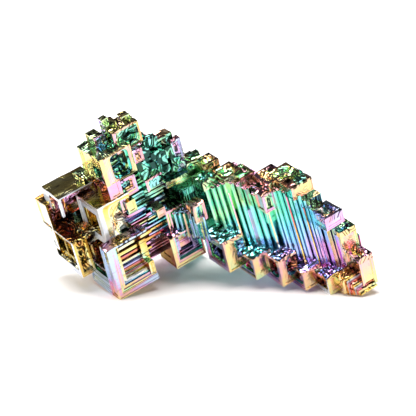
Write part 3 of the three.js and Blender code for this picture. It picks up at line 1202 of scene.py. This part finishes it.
@dataclass
class Trough:
    """The small trough between heap and wing, with its own short fluted wall below.

    Attributes:
        columns: Number of the wall's columns.
        step: Distance from one column to the next, along u and back along v.
        foot: Where the first column stands.
        height: Mean height of a column.
        fall: How much deeper each column's foot lies than the one before.
        seed: Seed of the uneven columns.
    """

    columns: int = 8
    step: float = 0.7
    foot: Triple = (-8.4, 1.2, -2.6)
    height: float = 5.8
    fall: float = 0.3
    seed: int = 5

    def wall(self) -> list[Crystal]:
        """The fluted wall: thin columns, and ones behind that show between them, darkened with painted
        shade.
        """
        rng = np.random.default_rng(self.seed)
        made = []
        for column in range(self.columns):
            along = column * self.step
            v = self.foot[1] - along + rng.uniform(-0.1, 0.1)
            corner = (self.foot[0] + along, v, self.foot[2] - self.fall * column)
            height = self.height + rng.uniform(-0.4, 0.3)
            shade = {Face.RIGHT: Film.SKY if column % 3 else Film.PEACH}
            size = (rng.uniform(0.3, 0.55), 4, height)
            made.append(Crystal(corner, size, {}, shade, streak=1, tilt=0.2, banded=False, top=FLAT))
            behind = (corner[0], corner[1] + 0.6, corner[2])
            size = (0.8, 6, height + 0.2)
            # The column behind is darkened with painted shade.
            made.append(Crystal(behind, size, skin=Film.BLUE, streak=1, banded=False, top=FLAT, relief=0.6))
        return made

    def crystals(self) -> list[Crystal]:
        """The wall, then the trough, the blocks round it and the small cubes at its two ends."""
        crest = {Face.RIGHT: Film.LIME, Face.LEFT: Film.PINK, Face.TOP: Film.TURQUOISE}
        return self.wall() + [
            Crystal((-9.2, 1, -6), (5.3, 8, 9.6), {
                Face.RIGHT: Hollow((0.6, 0.6, 3, 0.9), 0.8, bands=4),
            }, {Face.RIGHT: Film.PEACH, Face.TOP: Film.YELLOW}, Film.TURQUOISE),
            # Blocks from here on with a large share of fine steps are darkened with painted shade.
            Crystal((-9.4, 5.2, -4), (11, 6.2, 11.2), {
                Face.TOP: Hollow((1.2, 0.6, 0.8, 2.4), 3.8, tread=0.25, ledges=6),
                Face.RIGHT: Hollow((0.4, 0.4, 6, 0.5), 2.4, ledges=12),
            }, {Face.TOP: Film.PEACH}, Film.TEAL, Film.TEAL, relief=0.5, hollow_shade=0.85),
            Crystal((-4.6, 1.6, -4), (6.2, 5, 9.8), {
                Face.RIGHT: Hollow((0.3, 0.3, 4, 0.3), 1.2, ledges=4),
            }, {}, Film.GREEN, Film.TEAL, FLAT, streak=1, relief=0.6, hollow_shade=0.85),
            Crystal((-6.4, 2.6, 7.3), (5.6, 4.2, 1.7), {}, crest, Film.TEAL, Film.TEAL,
                Top(relief=0.2), tilt=4),
            Crystal((-3.6, 3, 6.6), (4.4, 3.8, 1.4), {}, crest, Film.TEAL, Film.TEAL, tilt=3),
            Crystal((-10.8, 2.6, 9), (3.9, 4, 2.9), {
                Face.RIGHT: Hollow((0.6, 0, 0, 0.6), 1.8, round_by=0.2),
            }, {Face.RIGHT: Film.PINK, Face.TOP: Film.LIME}, Film.TEAL),
            Crystal((-11.2, 0.5, 3.6), (2, 3, 2.1), {}, {Face.RIGHT: Film.PEACH}, Film.TEAL),
            Crystal((-12, 3.2, -2), (5, 4, 5.4), {}, {}, Film.VIOLET, Film.BLUE, LEDGED, 1,
                relief=0.7, crumbs=4),
            Crystal((-14.6, 3.2, -6.4), (5.2, 4, 4.4), {}, {}, Film.RED, Film.MAGENTA, DARK, -1,
                relief=0.85),
            Crystal((-4.9, -3.1, 0), (2.8, 2.8, 4.5), {
                Face.RIGHT: Hollow((0.6, 0.6, 1.2, 0.6), 0.8),
            }, {Face.RIGHT: Film.PINK, Face.LEFT: Film.PEACH}, Film.TURQUOISE, hollow_shade=0.2),
        ]


@dataclass
class FlutedWall:
    """The fluted wall of the wing: a stair of columns with thin upright ribs in front of them.

    Attributes:
        step: Distance from one column to the next along u.
        back_step: Distance along v for each millimetre along u.
        start: Where the first column stands.
        foot_fall: How much deeper each column's foot lies than the one before.
        heads: Height of each column's head.
        depth: Depth of a column.
        narrow: Where along the wall the columns' depth falls, and to what.
        recess: How far the columns are set back behind the ribs.
        column_relief_and_shade: Share of a column that fine steps take up, darkened with painted shade
            where the columns are set back.
        rib_depth: Depth of a rib.
        batter: Slope by which the ribs spread towards their foot.
        coarse: Smallest and largest distance between ribs before fine_from.
        fine: The same distances after it.
        fine_from: Place along the wall where the fine ribs start.
        accents: Place, width, drop and colour of strips that stand out in front of the ribs.
        proud: How far they stand out.
        seed: Seed of the uneven ribs.
    """

    step: float = 1.15
    back_step: float = 1.1
    start: Triple = (-0.6, -1.9, -6.0)
    foot_fall: float = 0.8
    heads: tuple[float, ...] = (
        5.8, 6.2, 6.6, 7, 6.4, 5, 3.8, 4, 4.5, 4.6, 4.2, 3.6, 1.5, -3, -4, -6, -9,
    )
    depth: float = 5.4
    narrow: tuple[Pair, float] = ((11, 15), 3.2)
    recess: float = 0.8
    column_relief_and_shade: float = 0.55
    rib_depth: float = 3.0
    batter: float = 0.11
    coarse: Pair = (0.8, 1.25)
    fine: Pair = (0.4, 0.8)
    fine_from: float = 8.2
    accents: tuple[tuple[float, float, float, Film], ...] = (
        (3.1, 0.3, 2.2, Film.PINK), (5.2, 1.0, 5.4, Film.PINK), (8.0, 0.3, 3.4, Film.YELLOW),
        (11.0, 0.3, 0.4, Film.BRONZE), (13.1, 0.25, 2.4, Film.GOLD), (15.6, 0.8, 0.6, Film.STRAW),
        (17.0, 0.7, 0.2, Film.PEACH),
    )
    proud: float = 0.3
    seed: int = 23

    def column(self, place: float, width: float, deep: float, drop: float) -> Crystal:
        """An upright column.

        Args:
            place: Distance along the wall.
            width: Width along u.
            deep: Depth along v.
            drop: Height of its head below the wall's.

        Returns:
            The column.
        """
        stations = np.arange(len(self.heads)) * self.step
        head = float(np.interp(place, stations, self.heads)) - drop
        foot = self.start[2] - self.foot_fall * place / self.step
        corner = (self.start[0] + place, self.start[1] - self.back_step * place, foot)
        size = (width, deep, head - foot)
        return Crystal(corner, size, streak=1, tilt=0.15, banded=False, top=FLAT)

    def columns(self) -> list[Crystal]:
        """The set-back columns that fill the wall."""
        made = []
        for number in range(len(self.heads)):
            place = number * self.step
            deep = float(np.interp(place, self.narrow[0], (self.depth, self.narrow[1])))
            body = self.column(place, deep, deep, 0.3)
            # Painted shade on the set-back columns that show between the ribs.
            body.relief = self.column_relief_and_shade
            u, v, w = body.corner
            body.corner = (u + 0.4, v + self.recess, w)
            made.append(body)
        return made

    def ribs(self) -> list[Crystal]:
        """The ribs in front, with slots between them."""
        rng = np.random.default_rng(self.seed)
        made = []
        place = 0.0
        while place < self.step * (len(self.heads) - 1):
            step = rng.uniform(*(self.coarse if place < self.fine_from else self.fine))
            width = step * rng.uniform(0.6, 0.88)
            made.append(self.column(place, width, self.rib_depth, rng.uniform(-0.2, 0.35)))
            made[-1].batter = self.batter
            place += step
        return made

    def strips(self) -> list[Crystal]:
        """The strips of another colour."""
        made = []
        for place, width, drop, film in self.accents:
            strip = self.column(place, width, self.rib_depth, drop)
            u, v, w = strip.corner
            strip.corner = (u, v - self.proud, w)
            strip.batter = self.batter
            strip.coats = {Face.RIGHT: film, Face.TOP: Film.SILVER}
            made.append(strip)
        return made

    def crystals(self) -> list[Crystal]:
        """All of the wall, from the back to the front."""
        return self.columns() + self.ribs() + self.strips()


@dataclass
class LowerRow:
    """The cubes along the wing's lower edge, and the nested ledges of its tip.

    Attributes:
        tip: Number of ledges at the tip.
        tip_corner: Lowest corner of the first ledge.
        tip_size: Its size.
        tints: Their film colours in turn.
        seed: Seed of their uneven heights.
    """

    tip: int = 9
    tip_corner: Triple = (13.9, -24.4, -19)
    tip_size: Triple = (5.2, 6, 3.9)
    tints: tuple[Film, ...] = (Film.GOLD, Film.SILVER, Film.RED, Film.PEACH)
    seed: int = 9

    def ledges(self) -> list[Crystal]:
        """The tip's ledges, each further out and lower than the one before."""
        rng = np.random.default_rng(self.seed)
        made = []
        for number in range(self.tip):
            u, v, w = self.tip_corner
            long, deep, height = self.tip_size
            corner = (u + 0.2 * number, v - 0.28 * number, w)
            size = (long - 0.1 * number, deep, height - 0.42 * number + rng.uniform(-0.15, 0.15))
            tint = self.tints[number % len(self.tints)]
            coats = {Face.RIGHT: tint, Face.TOP: tint}
            made.append(Crystal(corner, size, {}, coats, None, Film.BRONZE, FLAT, banded=False, relief=0.2))
        return made

    def crystals(self) -> list[Crystal]:
        """The cubes, from the heap to the wing's tip, and the tip's ledges."""
        warm = {Face.RIGHT: Film.PEACH, Face.LEFT: Film.LILAC, Face.TOP: Film.SKY}
        rosy = {Face.RIGHT: Film.PEACH, Face.LEFT: Film.PINK, Face.TOP: Film.VIOLET}
        ember = {Face.RIGHT: Film.YELLOW, Face.LEFT: Film.PEACH, Face.TOP: Film.GOLD}
        first = {Face.RIGHT: Film.PEACH, Face.LEFT: Film.RED, Face.TOP: Film.VIOLET}
        made = [
            Crystal((-10.5, -0.5, -9.4), (7.3, 6.5, 8.2), {
                Face.RIGHT: Hollow((1.2, 0.4, 1.5, 0.4), 3, 0.36, 0.5, bands=3, ledges=8, play=0.05),
            }, first, Film.VIOLET, None, LEDGED, -1),
            Crystal((-2.9, -8.1, -11.2), (5, 7.6, 7.7), {
                Face.LEFT: Hollow((1.1, 1.1, 1.4, 1.2), 2.2),
                Face.RIGHT: Hollow((2.8, 0, 2, 1.4), 1.6),
            }, warm, Film.BLUE, None, LEDGED),
            Crystal((0.9, -11.8, -13.5), (4.6, 7.6, 5.6), {
                Face.LEFT: Hollow((1, 3, 1, 1), 1.2),
            }, warm, Film.VIOLET, None, LEDGED),
            Crystal((4.6, -15.5, -15.7), (4.6, 7.6, 6.8), {
                Face.LEFT: Hollow((0.9, 3, 1.2, 1.1), 1.8, round_by=0.5),
                Face.RIGHT: Hollow((1.8, 0, 1.4, 1), 1.4, round_by=0.3),
            }, rosy, Film.MAGENTA, None, LEDGED),
            Crystal((7.7, -18.6, -17.1), (4.6, 7.6, 5), {
                Face.LEFT: Hollow((0.8, 3, 0.9, 0.8), 1.4, round_by=0.3),
            }, rosy, Film.MAGENTA, None, LEDGED),
            Crystal((11.2, -22.1, -18.7), (5, 7.6, 4.6), {
                Face.LEFT: Hollow((0.7, 3, 0.9, 0.8), 1.2),
            }, {**rosy, Face.LEFT: Film.CREAM}, Film.MAGENTA, None, LEDGED),
            Crystal((13.3, -24.3, -18.4), (4.4, 7, 3.6), {}, ember, Film.GOLD, Film.BRONZE, LEDGED),
        ]
        return made + self.ledges()


@dataclass
class UpperRow:
    """The cubes along the wing's upper edge and round its right end.

    Attributes:
        rimmed: Corner, size, colour of the right face and colour of the top of the rimmed cubes.
    """

    rimmed: tuple[tuple[Triple, Triple, Film, Film], ...] = (
        ((-1.1, -2.4, 5.8), (4.4, 3.9, 2.2), Film.LIME, Film.GREEN),
        ((2.6, -5.1, 0), (4.6, 4.6, 8.1), Film.LIME, Film.PEACH),
        ((5.6, -6.4, 0), (3.4, 4.8, 7), Film.PEACH, Film.LIME),
        ((7.1, -11.1, -3), (5, 6, 7.7), Film.GREEN, Film.PINK),
        ((8.8, -11.3, -4), (5, 5.5, 10.1), Film.YELLOW, Film.PEACH),
        ((10.7, -13.2, -5), (5.1, 5, 11.4), Film.YELLOW, Film.LIME),
        ((13.9, -21.4, -4.2), (4.7, 5.3, 3), Film.LILAC, Film.LILAC),
        ((16.3, -22.3, -14), (4, 5, 8.3), Film.YELLOW, Film.GREEN),
        ((17, -26, -18.7), (3.6, 6, 7.5), Film.PEACH, Film.PINK),
        ((1.2, -0.2, 4), (3.8, 3.6, 5.8), Film.PEACH, Film.PEACH),
        ((-1.2, 2.2, 4), (4.1, 2.8, 6.7), Film.LIME, Film.LIME),
        ((-3.4, 4.4, 4), (4.1, 2.8, 7.1), Film.LIME, Film.PEACH),
    )

    def crystals(self) -> list[Crystal]:
        """The rimmed cubes, two plain ones and the pink one in the wall."""
        made = [
            Crystal(corner, size, {}, {Face.TOP: above, Face.RIGHT: film}, top=RIMMED, crumbs=1, tilt=2)
            for corner, size, film, above in self.rimmed
        ]
        made += [
            Crystal((11.2, -15.9, 2.6), (5.2, 5, 3.1), {}, {Face.RIGHT: Film.PEACH}, crumbs=4),
            Crystal((13.6, -18.1, -5), (3, 5, 4.9)),
            Crystal((6.3, -12.3, 0.5), (3, 3, 4.5), {
                Face.RIGHT: even(0.6, 0.6),
            }, {Face.RIGHT: Film.PINK, Face.LEFT: Film.PEACH}, Film.TEAL),
        ]
        return made


@dataclass
class Rear:
    """The cubes that back the heap and the wing, and the one that stands under their middle."""

    def crystals(self) -> list[Crystal]:
        """The cubes, each with stepped hollows in both faces that look back."""
        back = even(1.4, 2)
        hollows = {Face.REAR_RIGHT: back, Face.REAR_LEFT: back}
        places = [
            ((2.4 + 3.3 * n, 0.6 - 3.4 * n, -9 - 1.9 * n), (5.2, 5.2, 6.0)) for n in range(4)
        ]
        places += [
            ((-5.4, 9.4, -16.6), (7, 6, 10)),
            ((-10, 6.5, -9), (10, 8, 12)),
            ((-19, 9, -8.5), (9, 8.5, 9.5)),
            ((-16, 9, 1), (9, 7.5, 10)),
            ((-24, 12.5, -2), (8, 6.5, 9)),
            ((-13, 7, 9), (7, 5, 8)),
        ]
        return [Crystal(corner, size, dict(hollows)) for corner, size in places]


@dataclass(frozen=True)
class OxideFinish:
    """The metal under its film: the film's colours in order, and the ripples of its faces.

    The film's thickness is the smooth field, plus what each face adds, plus clouds, terraces and
    streaks. A pattern of fine steps is made for each kind of face: arcs that swirl, upright lines
    or level ones. Where it is below the face's share of relief, the film's colour is
    darkened with painted shade, besides the steps' bump.

    Attributes:
        name: Name of the material.
        roughness: Roughness of the metal.
        contours: Number of fine steps over the whole range of the swirls.
        sharp: How fast a step darkened with painted shade turns bright at its edge.
        shade: Brightness of a step darkened with painted shade.
        clouds: Range of thickness of the clouds.
        terraces: Range of thickness of the terraces.
        streaks: Range of thickness of the upright and level lines.
        dull: Metallic value where the film is thinnest.
        dull_over: Thickness at which it starts to rise, and at which it is 1.
        bump: Strength of the ripples.
        bump_mm: Their height.
        stops: Film colours as a screen shows them, each at its place on the scale.
    """

    name: str = "bismuth oxide film"
    roughness: float = 0.16
    contours: float = 14.0
    sharp: float = 6.0
    shade: float = 0.1
    clouds: float = 0.12
    terraces: float = 0.11
    streaks: float = 0.07
    dull: float = 0.45
    dull_over: Pair = (0.02, 0.13)
    bump: float = 0.55
    bump_mm: float = 0.3
    stops: tuple[tuple[float, tuple[int, int, int]], ...] = (
        (0.0, (214, 220, 230)),
        (0.06, (240, 242, 242)),
        (0.11, (240, 238, 214)),
        (0.17, (242, 230, 158)),
        (0.23, (232, 200, 104)),
        (0.28, (218, 154, 88)),
        (0.33, (216, 120, 116)),
        (0.385, (236, 166, 210)),
        (0.435, (216, 186, 240)),
        (0.48, (172, 196, 238)),
        (0.53, (150, 214, 234)),
        (0.585, (148, 230, 224)),
        (0.635, (138, 222, 200)),
        (0.68, (174, 236, 190)),
        (0.75, (212, 232, 178)),
        (0.80, (242, 220, 150)),
        (0.85, (240, 198, 164)),
        (0.905, (234, 172, 200)),
        (0.95, (208, 178, 226)),
        (1.0, (196, 214, 240)),
    )

    def material(self, lattice: Lattice, film: FilmField) -> bpy.types.Material:
        """The material, which reads Object coordinates and the face attributes.

        Args:
            lattice: The lattice, whose axes the streaks follow.
            film: The smooth part of the film's thickness.

        Returns:
            The material.
        """
        made = bpy.data.materials.new(self.name)
        made.use_nodes = True
        graph = Graph(made.node_tree)
        place = graph.node("ShaderNodeTexCoord").outputs["Object"]
        cells = self.lattice_cells(graph, place, lattice)
        relief = graph.attribute("relief")
        streak = graph.attribute("streak")
        swirl = graph.noise(cells, 0.2, 0.5, 0.4, 1.4)
        steps = self.fine_steps(graph, cells, swirl, streak)
        thickness = graph.sum(self.smooth(graph, place, film), graph.attribute("film"))
        cloudy = graph.noise(cells, 0.2, 3, 0.5, 0.4)
        terraces = graph.stepped(swirl, self.contours / 2)
        thickness = graph.sum(thickness, graph.scaled(graph.centred(cloudy), self.clouds))
        thickness = graph.sum(thickness, graph.scaled(graph.centred(terraces), self.terraces))
        lined = graph.math("ABSOLUTE", streak, 0.0)
        lines = graph.product(graph.scaled(graph.centred(steps), self.streaks), lined)
        thickness = graph.sum(thickness, lines)
        colour = graph.node("ShaderNodeVectorMath", operation="SCALE")
        graph.link(graph.ramp(thickness, self.stops), colour.inputs[0])
        # Painted shade: the film's colour is scaled down in the fine steps, by each face's share.
        graph.link(self.brightness(graph, steps, relief), colour.inputs["Scale"])
        bump = graph.node("ShaderNodeBump")
        bump.inputs["Strength"].default_value = self.bump
        bump.inputs["Distance"].default_value = self.bump_mm * MM
        graph.link(graph.product(steps, graph.sum(relief, 0.04)), bump.inputs["Height"])
        shader = made.node_tree.nodes["Principled BSDF"]
        shader.inputs["Roughness"].default_value = self.roughness
        graph.link(graph.between(thickness, self.dull_over, (self.dull, 1.0)), shader.inputs["Metallic"])
        graph.link(colour.outputs[0], shader.inputs["Base Color"])
        graph.link(bump.outputs["Normal"], shader.inputs["Normal"])
        return made

    def lattice_cells(self, graph: "Graph", place: Socket, lattice: Lattice) -> Socket:
        """Object coordinates turned into the lattice, in millimetres.

        Args:
            graph: The material's nodes.
            place: Object coordinates.
            lattice: The lattice.

        Returns:
            The socket of the vector.
        """
        grid = graph.node("ShaderNodeMapping", vector_type="TEXTURE")
        graph.link(place, grid.inputs["Vector"])
        grid.inputs["Location"].default_value = [value * MM for value in lattice.zero_mm]
        grid.inputs["Rotation"].default_value = lattice.turn().to_euler("XYZ")
        grid.inputs["Scale"].default_value = (MM, MM, MM)
        return grid.outputs["Vector"]

    def fine_steps(self, graph: "Graph", cells: Socket, swirl: Socket, streak: Socket) -> Socket:
        """The fine steps of a face, from 0 to 1: arcs, upright lines or level lines.

        Args:
            graph: The material's nodes.
            cells: Lattice coordinates.
            swirl: Noise whose contours are the arcs.
            streak: The face's choice: 0, 1 or -1.

        Returns:
            The socket of the value.
        """
        arcs = graph.math("PINGPONG", graph.scaled(swirl, self.contours), 1.0)
        upright = graph.stretched(graph.noise(graph.squeezed(cells, (2.4, 2.4, 0.05)), 1, 2, 0.6))
        level = graph.stretched(graph.noise(graph.squeezed(cells, (0.09, 1.4, 2.4)), 1, 2, 0.6))
        return graph.mixed(graph.mixed(arcs, upright, streak), level, graph.scaled(streak, -1.0))

    def brightness(self, graph: "Graph", steps: Socket, relief: Socket) -> Socket:
        """The share of the film's colour that is left, low in the steps darkened with painted shade.

        Args:
            graph: The material's nodes.
            steps: The fine steps.
            relief: The face's share of steps darkened with painted shade.

        Returns:
            The socket of the value.
        """
        above = graph.math("SUBTRACT", steps, graph.scaled(relief, 0.95))
        bare = graph.sum(graph.scaled(above, self.sharp), 0.85)
        return graph.between(bare, (0.0, 1.0), (self.shade, 1.0))

    def smooth(self, graph: "Graph", place: Socket, film: FilmField) -> Socket:
        """The smooth part of the thickness, as FilmField.at works it out.

        Args:
            graph: The material's nodes.
            place: Object coordinates.
            film: The field.

        Returns:
            The socket of the value.
        """
        split = graph.node("ShaderNodeSeparateXYZ")
        graph.link(place, split.inputs[0])
        x, z = split.outputs["X"], split.outputs["Z"]
        right = graph.math("MAXIMUM", graph.math("SUBTRACT", x, film.middle_mm[0] * MM), 0.0)
        down = graph.math("MAXIMUM", graph.math("SUBTRACT", film.middle_mm[1] * MM, z), 0.0)
        reach = tuple(value * MM for value in film.heap_to_wing_mm)
        slope = graph.between(x, reach, tuple(value / MM for value in film.slope))
        outer = tuple(value * MM for value in film.outer_heap_mm)
        slope = graph.product(slope, graph.between(x, outer, film.outer_share))
        free = graph.between(x, reach, tuple(value * MM for value in film.free_mm))
        over = graph.math("MAXIMUM", graph.math("SUBTRACT", graph.sum(down, right), free), 0.0)
        return graph.math("SUBTRACT", film.thickest, graph.product(slope, over))


class Graph:
    """Short ways to add nodes to a node tree and to link them."""

    def __init__(self, tree: bpy.types.NodeTree) -> None:
        """Keeps the tree."""
        self.tree = tree

    def node(self, kind: str, **settings: object) -> bpy.types.Node:
        """A new node of a kind, with its settings."""
        made = self.tree.nodes.new(kind)
        for key, value in settings.items():
            setattr(made, key, value)
        return made

    def link(self, source: Socket, target: Socket) -> None:
        """Links two sockets."""
        self.tree.links.new(source, target)

    def math(self, operation: str, first: Socket | float, second: Socket | float) -> Socket:
        """A Math node of two inputs.

        Args:
            operation: What it works out.
            first: Its first input, a socket or a number.
            second: Its second input.

        Returns:
            The socket of the value.
        """
        made = self.node("ShaderNodeMath", operation=operation)
        for place, value in enumerate((first, second)):
            if isinstance(value, Socket):
                self.link(value, made.inputs[place])
            else:
                made.inputs[place].default_value = value
        return made.outputs[0]

    def sum(self, first: Socket, second: Socket | float) -> Socket:
        """The sum of a socket and a socket or number."""
        return self.math("ADD", first, second)

    def product(self, first: Socket, second: Socket) -> Socket:
        """The product of two sockets."""
        return self.math("MULTIPLY", first, second)

    def scaled(self, value: Socket, factor: float) -> Socket:
        """A socket times a number."""
        return self.math("MULTIPLY", value, factor)

    def mixed(self, first: Socket, second: Socket, share: Socket) -> Socket:
        """The first value, or the second one where the share is 1, or what lies between.

        Args:
            first: The first value.
            second: The second value.
            share: Share of the second, held at 0 and 1.

        Returns:
            The socket of the value.
        """
        made = self.node("ShaderNodeMix", data_type="FLOAT", clamp_factor=True)
        self.link(share, made.inputs["Factor"])
        self.link(first, made.inputs["A"])
        self.link(second, made.inputs["B"])
        return made.outputs["Result"]

    def stretched(self, value: Socket) -> Socket:
        """Noise, which keeps near its middle, spread over 0 to 1."""
        return self.between(value, (0.33, 0.67), (0.0, 1.0))

    def centred(self, value: Socket) -> Socket:
        """A value of 0 to 1 moved to lie round 0."""
        return self.math("SUBTRACT", value, 0.5)

    def stepped(self, value: Socket, steps: float) -> Socket:
        """A value of 0 to 1 rounded to steps, which turns slopes to terraces."""
        return self.scaled(self.math("FLOOR", self.scaled(value, steps), 0.0), 1 / steps)

    def between(self, value: Socket, source: Pair, target: Pair) -> Socket:
        """A value of one range moved to another range, and held at its ends.

        Args:
            value: The value.
            source: The range that it comes from.
            target: The range that it is moved to.

        Returns:
            The socket of the value.
        """
        made = self.node("ShaderNodeMapRange")
        self.link(value, made.inputs["Value"])
        names = ("From Min", "From Max", "To Min", "To Max")
        for name, number in zip(names, (*source, *target)):
            made.inputs[name].default_value = number
        return made.outputs["Result"]

    def attribute(self, name: str) -> Socket:
        """The number that a face attribute gives."""
        return self.node("ShaderNodeAttribute", attribute_name=name).outputs["Fac"]

    def squeezed(self, vector: Socket, scale: Triple) -> Socket:
        """A vector scaled along each axis by its own factor."""
        made = self.node("ShaderNodeMapping")
        self.link(vector, made.inputs["Vector"])
        made.inputs["Scale"].default_value = scale
        return made.outputs["Vector"]

    def noise(
        self, vector: Socket, scale: float, detail: float, rough: float, bent: float = 0.0
    ) -> Socket:
        """Noise over a vector, from 0 to 1.

        Args:
            vector: The coordinates.
            scale: Number of lumps in one unit of them.
            detail: Number of finer layers.
            rough: Strength of each finer layer.
            bent: How far its lumps are bent.

        Returns:
            The socket of the value.
        """
        made = self.node("ShaderNodeTexNoise")
        self.link(vector, made.inputs["Vector"])
        made.inputs["Scale"].default_value = scale
        made.inputs["Detail"].default_value = detail
        made.inputs["Roughness"].default_value = rough
        made.inputs["Distortion"].default_value = bent
        return made.outputs["Fac"]

    def ramp(self, value: Socket, stops: tuple[tuple[float, tuple[int, int, int]], ...]) -> Socket:
        """A colour ramp whose stops are places and colours.

        Args:
            value: Place on the ramp.
            stops: Pairs of a place and a colour of 0 to 255 as a screen shows it.

        Returns:
            The socket of the colour.
        """
        made = self.node("ShaderNodeValToRGB")
        self.link(value, made.inputs["Fac"])
        elements = made.color_ramp.elements
        for place, colour in stops[1:-1]:
            elements.new(place).color = linear(colour)
        elements[0].color = linear(stops[0][1])
        elements[-1].color = linear(stops[-1][1])
        return made.outputs["Color"]


def linear(colour: tuple[int, int, int]) -> tuple[float, float, float, float]:
    """A colour as a screen shows it, in the renderer's linear values."""
    share = np.array(colour) / 255
    low = share / 12.92
    high = ((share + 0.055) / 1.055) ** 2.4
    return (*np.where(share <= 0.04045, low, high).tolist(), 1.0)


@dataclass(frozen=True)
class Lamp:
    """A rectangular light that faces the crystal.

    Attributes:
        name: Its name.
        place_m: Where it stands.
        size_m: Its width and height.
        power: Its power in watts.
    """

    name: str
    place_m: Triple
    size_m: Pair
    power: float

    def light(self, aim: Vector) -> None:
        """Adds the light, turned to a point."""
        data = bpy.data.lights.new(self.name, "AREA")
        data.shape = "RECTANGLE"
        data.size, data.size_y = self.size_m
        data.energy = self.power
        made = bpy.data.objects.new(self.name, data)
        made.location = self.place_m
        made.rotation_euler = (aim - Vector(self.place_m)).to_track_quat("-Z", "Y").to_euler()
        bpy.context.scene.collection.objects.link(made)


@dataclass(frozen=True)
class Studio:
    """The white table, the soft lights, the room and the camera.

    Attributes:
        distance_m: Distance of the camera from the lattice's zero point.
        elevation_deg: How far above the horizon it stands.
        lens_mm: Focal length.
        sensor_mm: Width of the sensor.
        table_m: Width of the table.
        paint: Colour of the table, a little warm.
        lamps: One large lamp overhead, one at each side, and two strips behind for the tops.
        walls: Colours of the room by height, pale as far up as a white sweep reaches.
    """

    distance_m: float = 0.412
    elevation_deg: float = 20.0
    lens_mm: float = 173.08
    sensor_mm: float = 36.0
    table_m: float = 2.4
    paint: tuple[float, float, float, float] = (0.905, 0.875, 0.86, 1)
    lamps: tuple[Lamp, ...] = (
        Lamp("overhead", (-0.12, 0.0, 1.0), (0.75, 0.6), 15),
        Lamp("left", (-0.8, -0.25, 0.45), (0.5, 0.5), 6),
        Lamp("right", (0.8, -0.35, 0.5), (0.5, 0.5), 2.5),
        Lamp("behind left", (-0.75, 0.55, 0.6), (0.14, 0.4), 2.0),
        Lamp("behind right", (0.35, 0.8, 0.6), (0.14, 0.4), 2.0),
    )
    walls: tuple[tuple[float, tuple[int, int, int]], ...] = (
        (0.0, (246, 246, 246)),
        (0.16, (214, 214, 212)),
        (0.34, (66, 62, 58)),
        (1.0, (44, 42, 40)),
    )

    def camera(self, target: Vector) -> None:
        """The camera, which looks along +Y and down at the lattice's zero point."""
        slope = math.radians(self.elevation_deg)
        data = bpy.data.cameras.new("camera")
        data.lens = self.lens_mm
        data.sensor_width = self.sensor_mm
        data.clip_start = 0.01
        data.clip_end = 20
        made = bpy.data.objects.new("camera", data)
        made.location = target + Vector((0, -math.cos(slope), math.sin(slope))) * self.distance_m
        made.rotation_euler = (math.radians(90) - slope, 0, 0)
        bpy.context.scene.collection.objects.link(made)
        bpy.context.scene.camera = made

    def table(self) -> None:
        """The matt white table top under the crystal."""
        half = self.table_m / 2
        corners = [(-half, -half, 0), (half, -half, 0), (half, half, 0), (-half, half, 0)]
        mesh = bpy.data.meshes.new("table")
        mesh.from_pydata(corners, [], [(0, 1, 2, 3)])
        made = bpy.data.objects.new("table", mesh)
        bpy.context.scene.collection.objects.link(made)
        paint = bpy.data.materials.new("white table")
        paint.use_nodes = True
        shader = paint.node_tree.nodes["Principled BSDF"]
        shader.inputs["Base Color"].default_value = self.paint
        shader.inputs["Roughness"].default_value = 0.9
        shader.inputs["Specular IOR Level"].default_value = 0.0
        mesh.materials.append(paint)

    def room(self) -> None:
        """The world's colours, by how far up one looks."""
        world = bpy.data.worlds.new("room")
        world.use_nodes = True
        graph = Graph(world.node_tree)
        split = graph.node("ShaderNodeSeparateXYZ")
        graph.link(graph.node("ShaderNodeTexCoord").outputs["Generated"], split.inputs[0])
        shade = graph.ramp(split.outputs["Z"], self.walls)
        graph.link(shade, world.node_tree.nodes["Background"].inputs["Color"])
        bpy.context.scene.world = world

    def build(self, lattice: Lattice) -> None:
        """Sets up camera, table, lamps and room."""
        target = Vector(lattice.zero_mm) * MM
        self.camera(target)
        self.table()
        for lamp in self.lamps:
            lamp.light(target)
        self.room()
        bpy.context.scene.view_settings.view_transform = "Standard"


def main() -> None:
    """Builds the crystal and the studio."""
    logging.basicConfig(level=logging.INFO, format="%(message)s")
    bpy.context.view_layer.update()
    lattice = Lattice()
    film = FilmField()
    Studio().build(lattice)
    mason = Mason(lattice, film)
    # A group's place in this order is the seed of its small differences.
    groups = [
        Heap(), Crown(), Ladder(), Trough(), FlutedWall(), LowerRow(), UpperRow(), Rear(), Rubble(),
    ]
    for seed, group in enumerate(groups, start=1):
        crystals = group.crystals()
        mason.lay(crystals, seed)
        LOG.info("%s: %d cubes", type(group).__name__, len(crystals))
    skin = mason.grown_together("bismuth_hopper_skin")
    skin.data.materials.clear()
    skin.data.materials.append(OxideFinish().material(lattice, film))
    skin.data.polygons.foreach_set("material_index", np.zeros(len(skin.data.polygons), np.int32))
    skin.data.shade_smooth()
    skin.data.set_sharp_from_angle(angle=math.radians(SHARP_DEG))
    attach(skin, "root")
    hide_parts(NODE)
    LOG.info("%s: %d faces", skin.name, len(skin.data.polygons))


if __name__ == "__main__":
    main()
